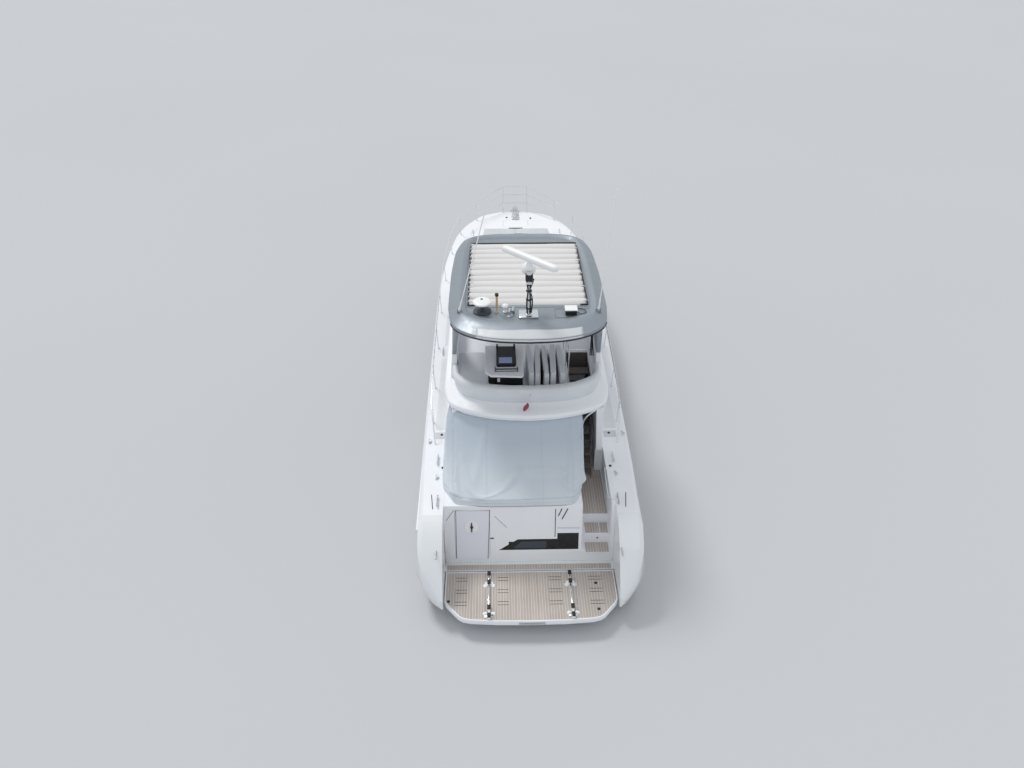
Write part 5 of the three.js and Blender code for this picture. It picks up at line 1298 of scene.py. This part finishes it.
def add_fly_details():
    black = Kit()
    for low, high, rounding in GRILL_FRAME_AND_SHADE:
        black.block(low, high, rounding)
    black.make("grill_frame_and_painted_shade", "black")
    bars = Kit()
    for y in (-4.15, -4.24):
        bars.tube([(-0.70, y, 3.888), (-0.215, y, 3.888)], 0.012, 8)
    bars.make("grill_bars", "steel")
    tilt = Matrix.Rotation(math.radians(14), 3, "X")
    Kit().block((-0.62, -4.05, 3.965), (-0.33, -3.88, 3.975), 0.003, tilt).make("grill_display", "screen")
    Kit().block((-0.66, -4.345, 3.64), (-0.60, -4.326, 3.74), 0.006).make("bar_socket", "white")
    Kit().block((0.985, -2.716, 2.70), (1.495, -2.703, 3.34), 0.004).make("stair_lining", "tread")
    straps = Kit()
    for x, lean in STRAPS:
        straps.tube(curve_line([(x, -3.15, 4.55), (x + lean, -3.35, 4.2), (x, -3.55, 3.80)], 4), 0.014, 6)
    straps.make("stair_straps", "black")
    staff = Kit().tube(FLAG_STAFF, 0.011, 8)
    staff.lathe([(0.0, 0.0), (0.018, 0.004), (0.018, 0.02), (0.0, 0.026)], (0.04, -5.0, 3.735), sides=12)
    staff.make("flag_staff", "steel")
    Kit().rings(furled_flag()).make("furled_flag", "flag", sharp=70)


def add_helm_displays():
    """Two dark displays that lie on the sloping face of the flybridge console."""
    tree = node_tree("fly_helm")
    low, high = (Vector(corner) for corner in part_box("fly_helm"))
    kit = Kit()
    for x0, x1 in ((-0.92, -0.58), (-0.08, 0.26)):
        rows = []
        for z in (high.z - down for down in (0.26, 0.18, 0.10, 0.04)):
            starts = [Vector((x, low.y - 1.0, z)) for x in (x0, (x0 + x1) / 2, x1)]
            hits = [tree.ray_cast(start, Vector((0, 1, 0)))[0] for start in starts]
            if all(hits):
                rows.append([hit + Vector((0, -0.006, 0.004)) for hit in hits])
        if len(rows) > 1:
            kit.rings(rows, closed=False)
    kit.make_sheet("helm_displays", "smoked", 0.008)


add_fly_details()
add_helm_displays()


# Wipers on the windscreen

WIPERS_X = (-0.95, -0.05, 0.85)
WIPER_SWEEP = 0.34


def add_wipers():
    tree = node_tree("windscreen")
    low, high = (Vector(corner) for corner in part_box("windscreen"))
    span = high.y - low.y
    kit = Kit()
    for x in WIPERS_X:
        points = []
        for share in shares(6):
            place = Vector((x + WIPER_SWEEP * share, high.y - span * (0.08 + 0.62 * share), ABOVE_ALL))
            hit = tree.ray_cast(place, DOWN)[0]
            if hit:
                points.append(hit + Vector((0, 0.006, 0.014)))
        kit.tube(points, 0.009, 6)
        kit.lathe([(0.03, -0.01), (0.03, 0.012), (0.018, 0.02)], points[0], sides=12)
        blade = [p + UP * 0.004 for p in points[3:]]
        kit.tube([blade[0] + Vector((-0.02, 0, 0)), *blade[1:]], 0.012, 6)
    kit.make("windscreen_wipers", "black")


add_wipers()


# Windows in the topsides: from y, to y, bottom, top

HULL_WINDOWS = [(-1.6, 1.1, 1.02, 1.36), (1.3, 3.5, 1.12, 1.42), (4.1, 5.2, 1.4, 1.6)]
WINDOW_RISE = 0.03


def side_patch(kit, side, y0, y1, z0, z1):
    """A pane with rounded ends that follows the ship's side and rises forward with it."""
    middle, half = (y0 + y1) / 2, (y1 - y0) / 2
    grid = []
    for up in shares(6):
        line = []
        for along in shares(36):
            y = middle + half * math.sin(math.pi * (along - 0.5))
            tall = max(max(1 - abs((y - middle) / half) ** 6, 0.0) ** 0.5, 0.04)
            z = (z0 + z1) / 2 + WINDOW_RISE * (y - middle) + (z1 - z0) * tall * (up - 0.5)
            hit = HULL_TREE.ray_cast(Vector((side * 4.0, y, z)), Vector((-side, 0, 0)))[0]
            line.append(hit + Vector((side * 0.004, 0, 0)))
        grid.append(line)
    kit.rings(grid, closed=False)


def add_hull_windows():
    for side, word in ((-1, "port"), (1, "stbd")):
        kit = Kit()
        for window in HULL_WINDOWS:
            side_patch(kit, side, *window)
        kit.make_sheet(f"hull_windows_{word}", "glass", 0.004)


add_hull_windows()


# Floor and light

LIGHT_FROM = Vector((-0.38, 0.50, 1.0))


def add_stage():
    bpy.ops.mesh.primitive_plane_add(size=600, location=(0, 0, 0))
    floor = bpy.context.object
    floor.name = "floor"
    s = Shader("floor_paint", 0.9)
    s.colour(s.mix(s.noise(0.05, 2.0), (193, 195, 198), (198, 200, 203)))
    floor.data.materials.append(s.material)

    world = bpy.data.worlds.new("sky")
    bpy.context.scene.world = world
    world.use_nodes = True
    background = world.node_tree.nodes["Background"]
    background.inputs["Color"].default_value = (0.93, 0.955, 0.985, 1)
    background.inputs["Strength"].default_value = 0.76

    sun = bpy.data.lights.new("sun", "SUN")
    sun.energy = 1.25
    sun.angle = math.radians(14)
    sun.color = (1.0, 0.985, 0.96)
    sun_object = bpy.data.objects.new("sun", sun)
    bpy.context.scene.collection.objects.link(sun_object)
    sun_object.rotation_euler = LIGHT_FROM.to_track_quat("Z", "Y").to_euler()
    bpy.context.scene.view_settings.view_transform = "Standard"


add_stage()
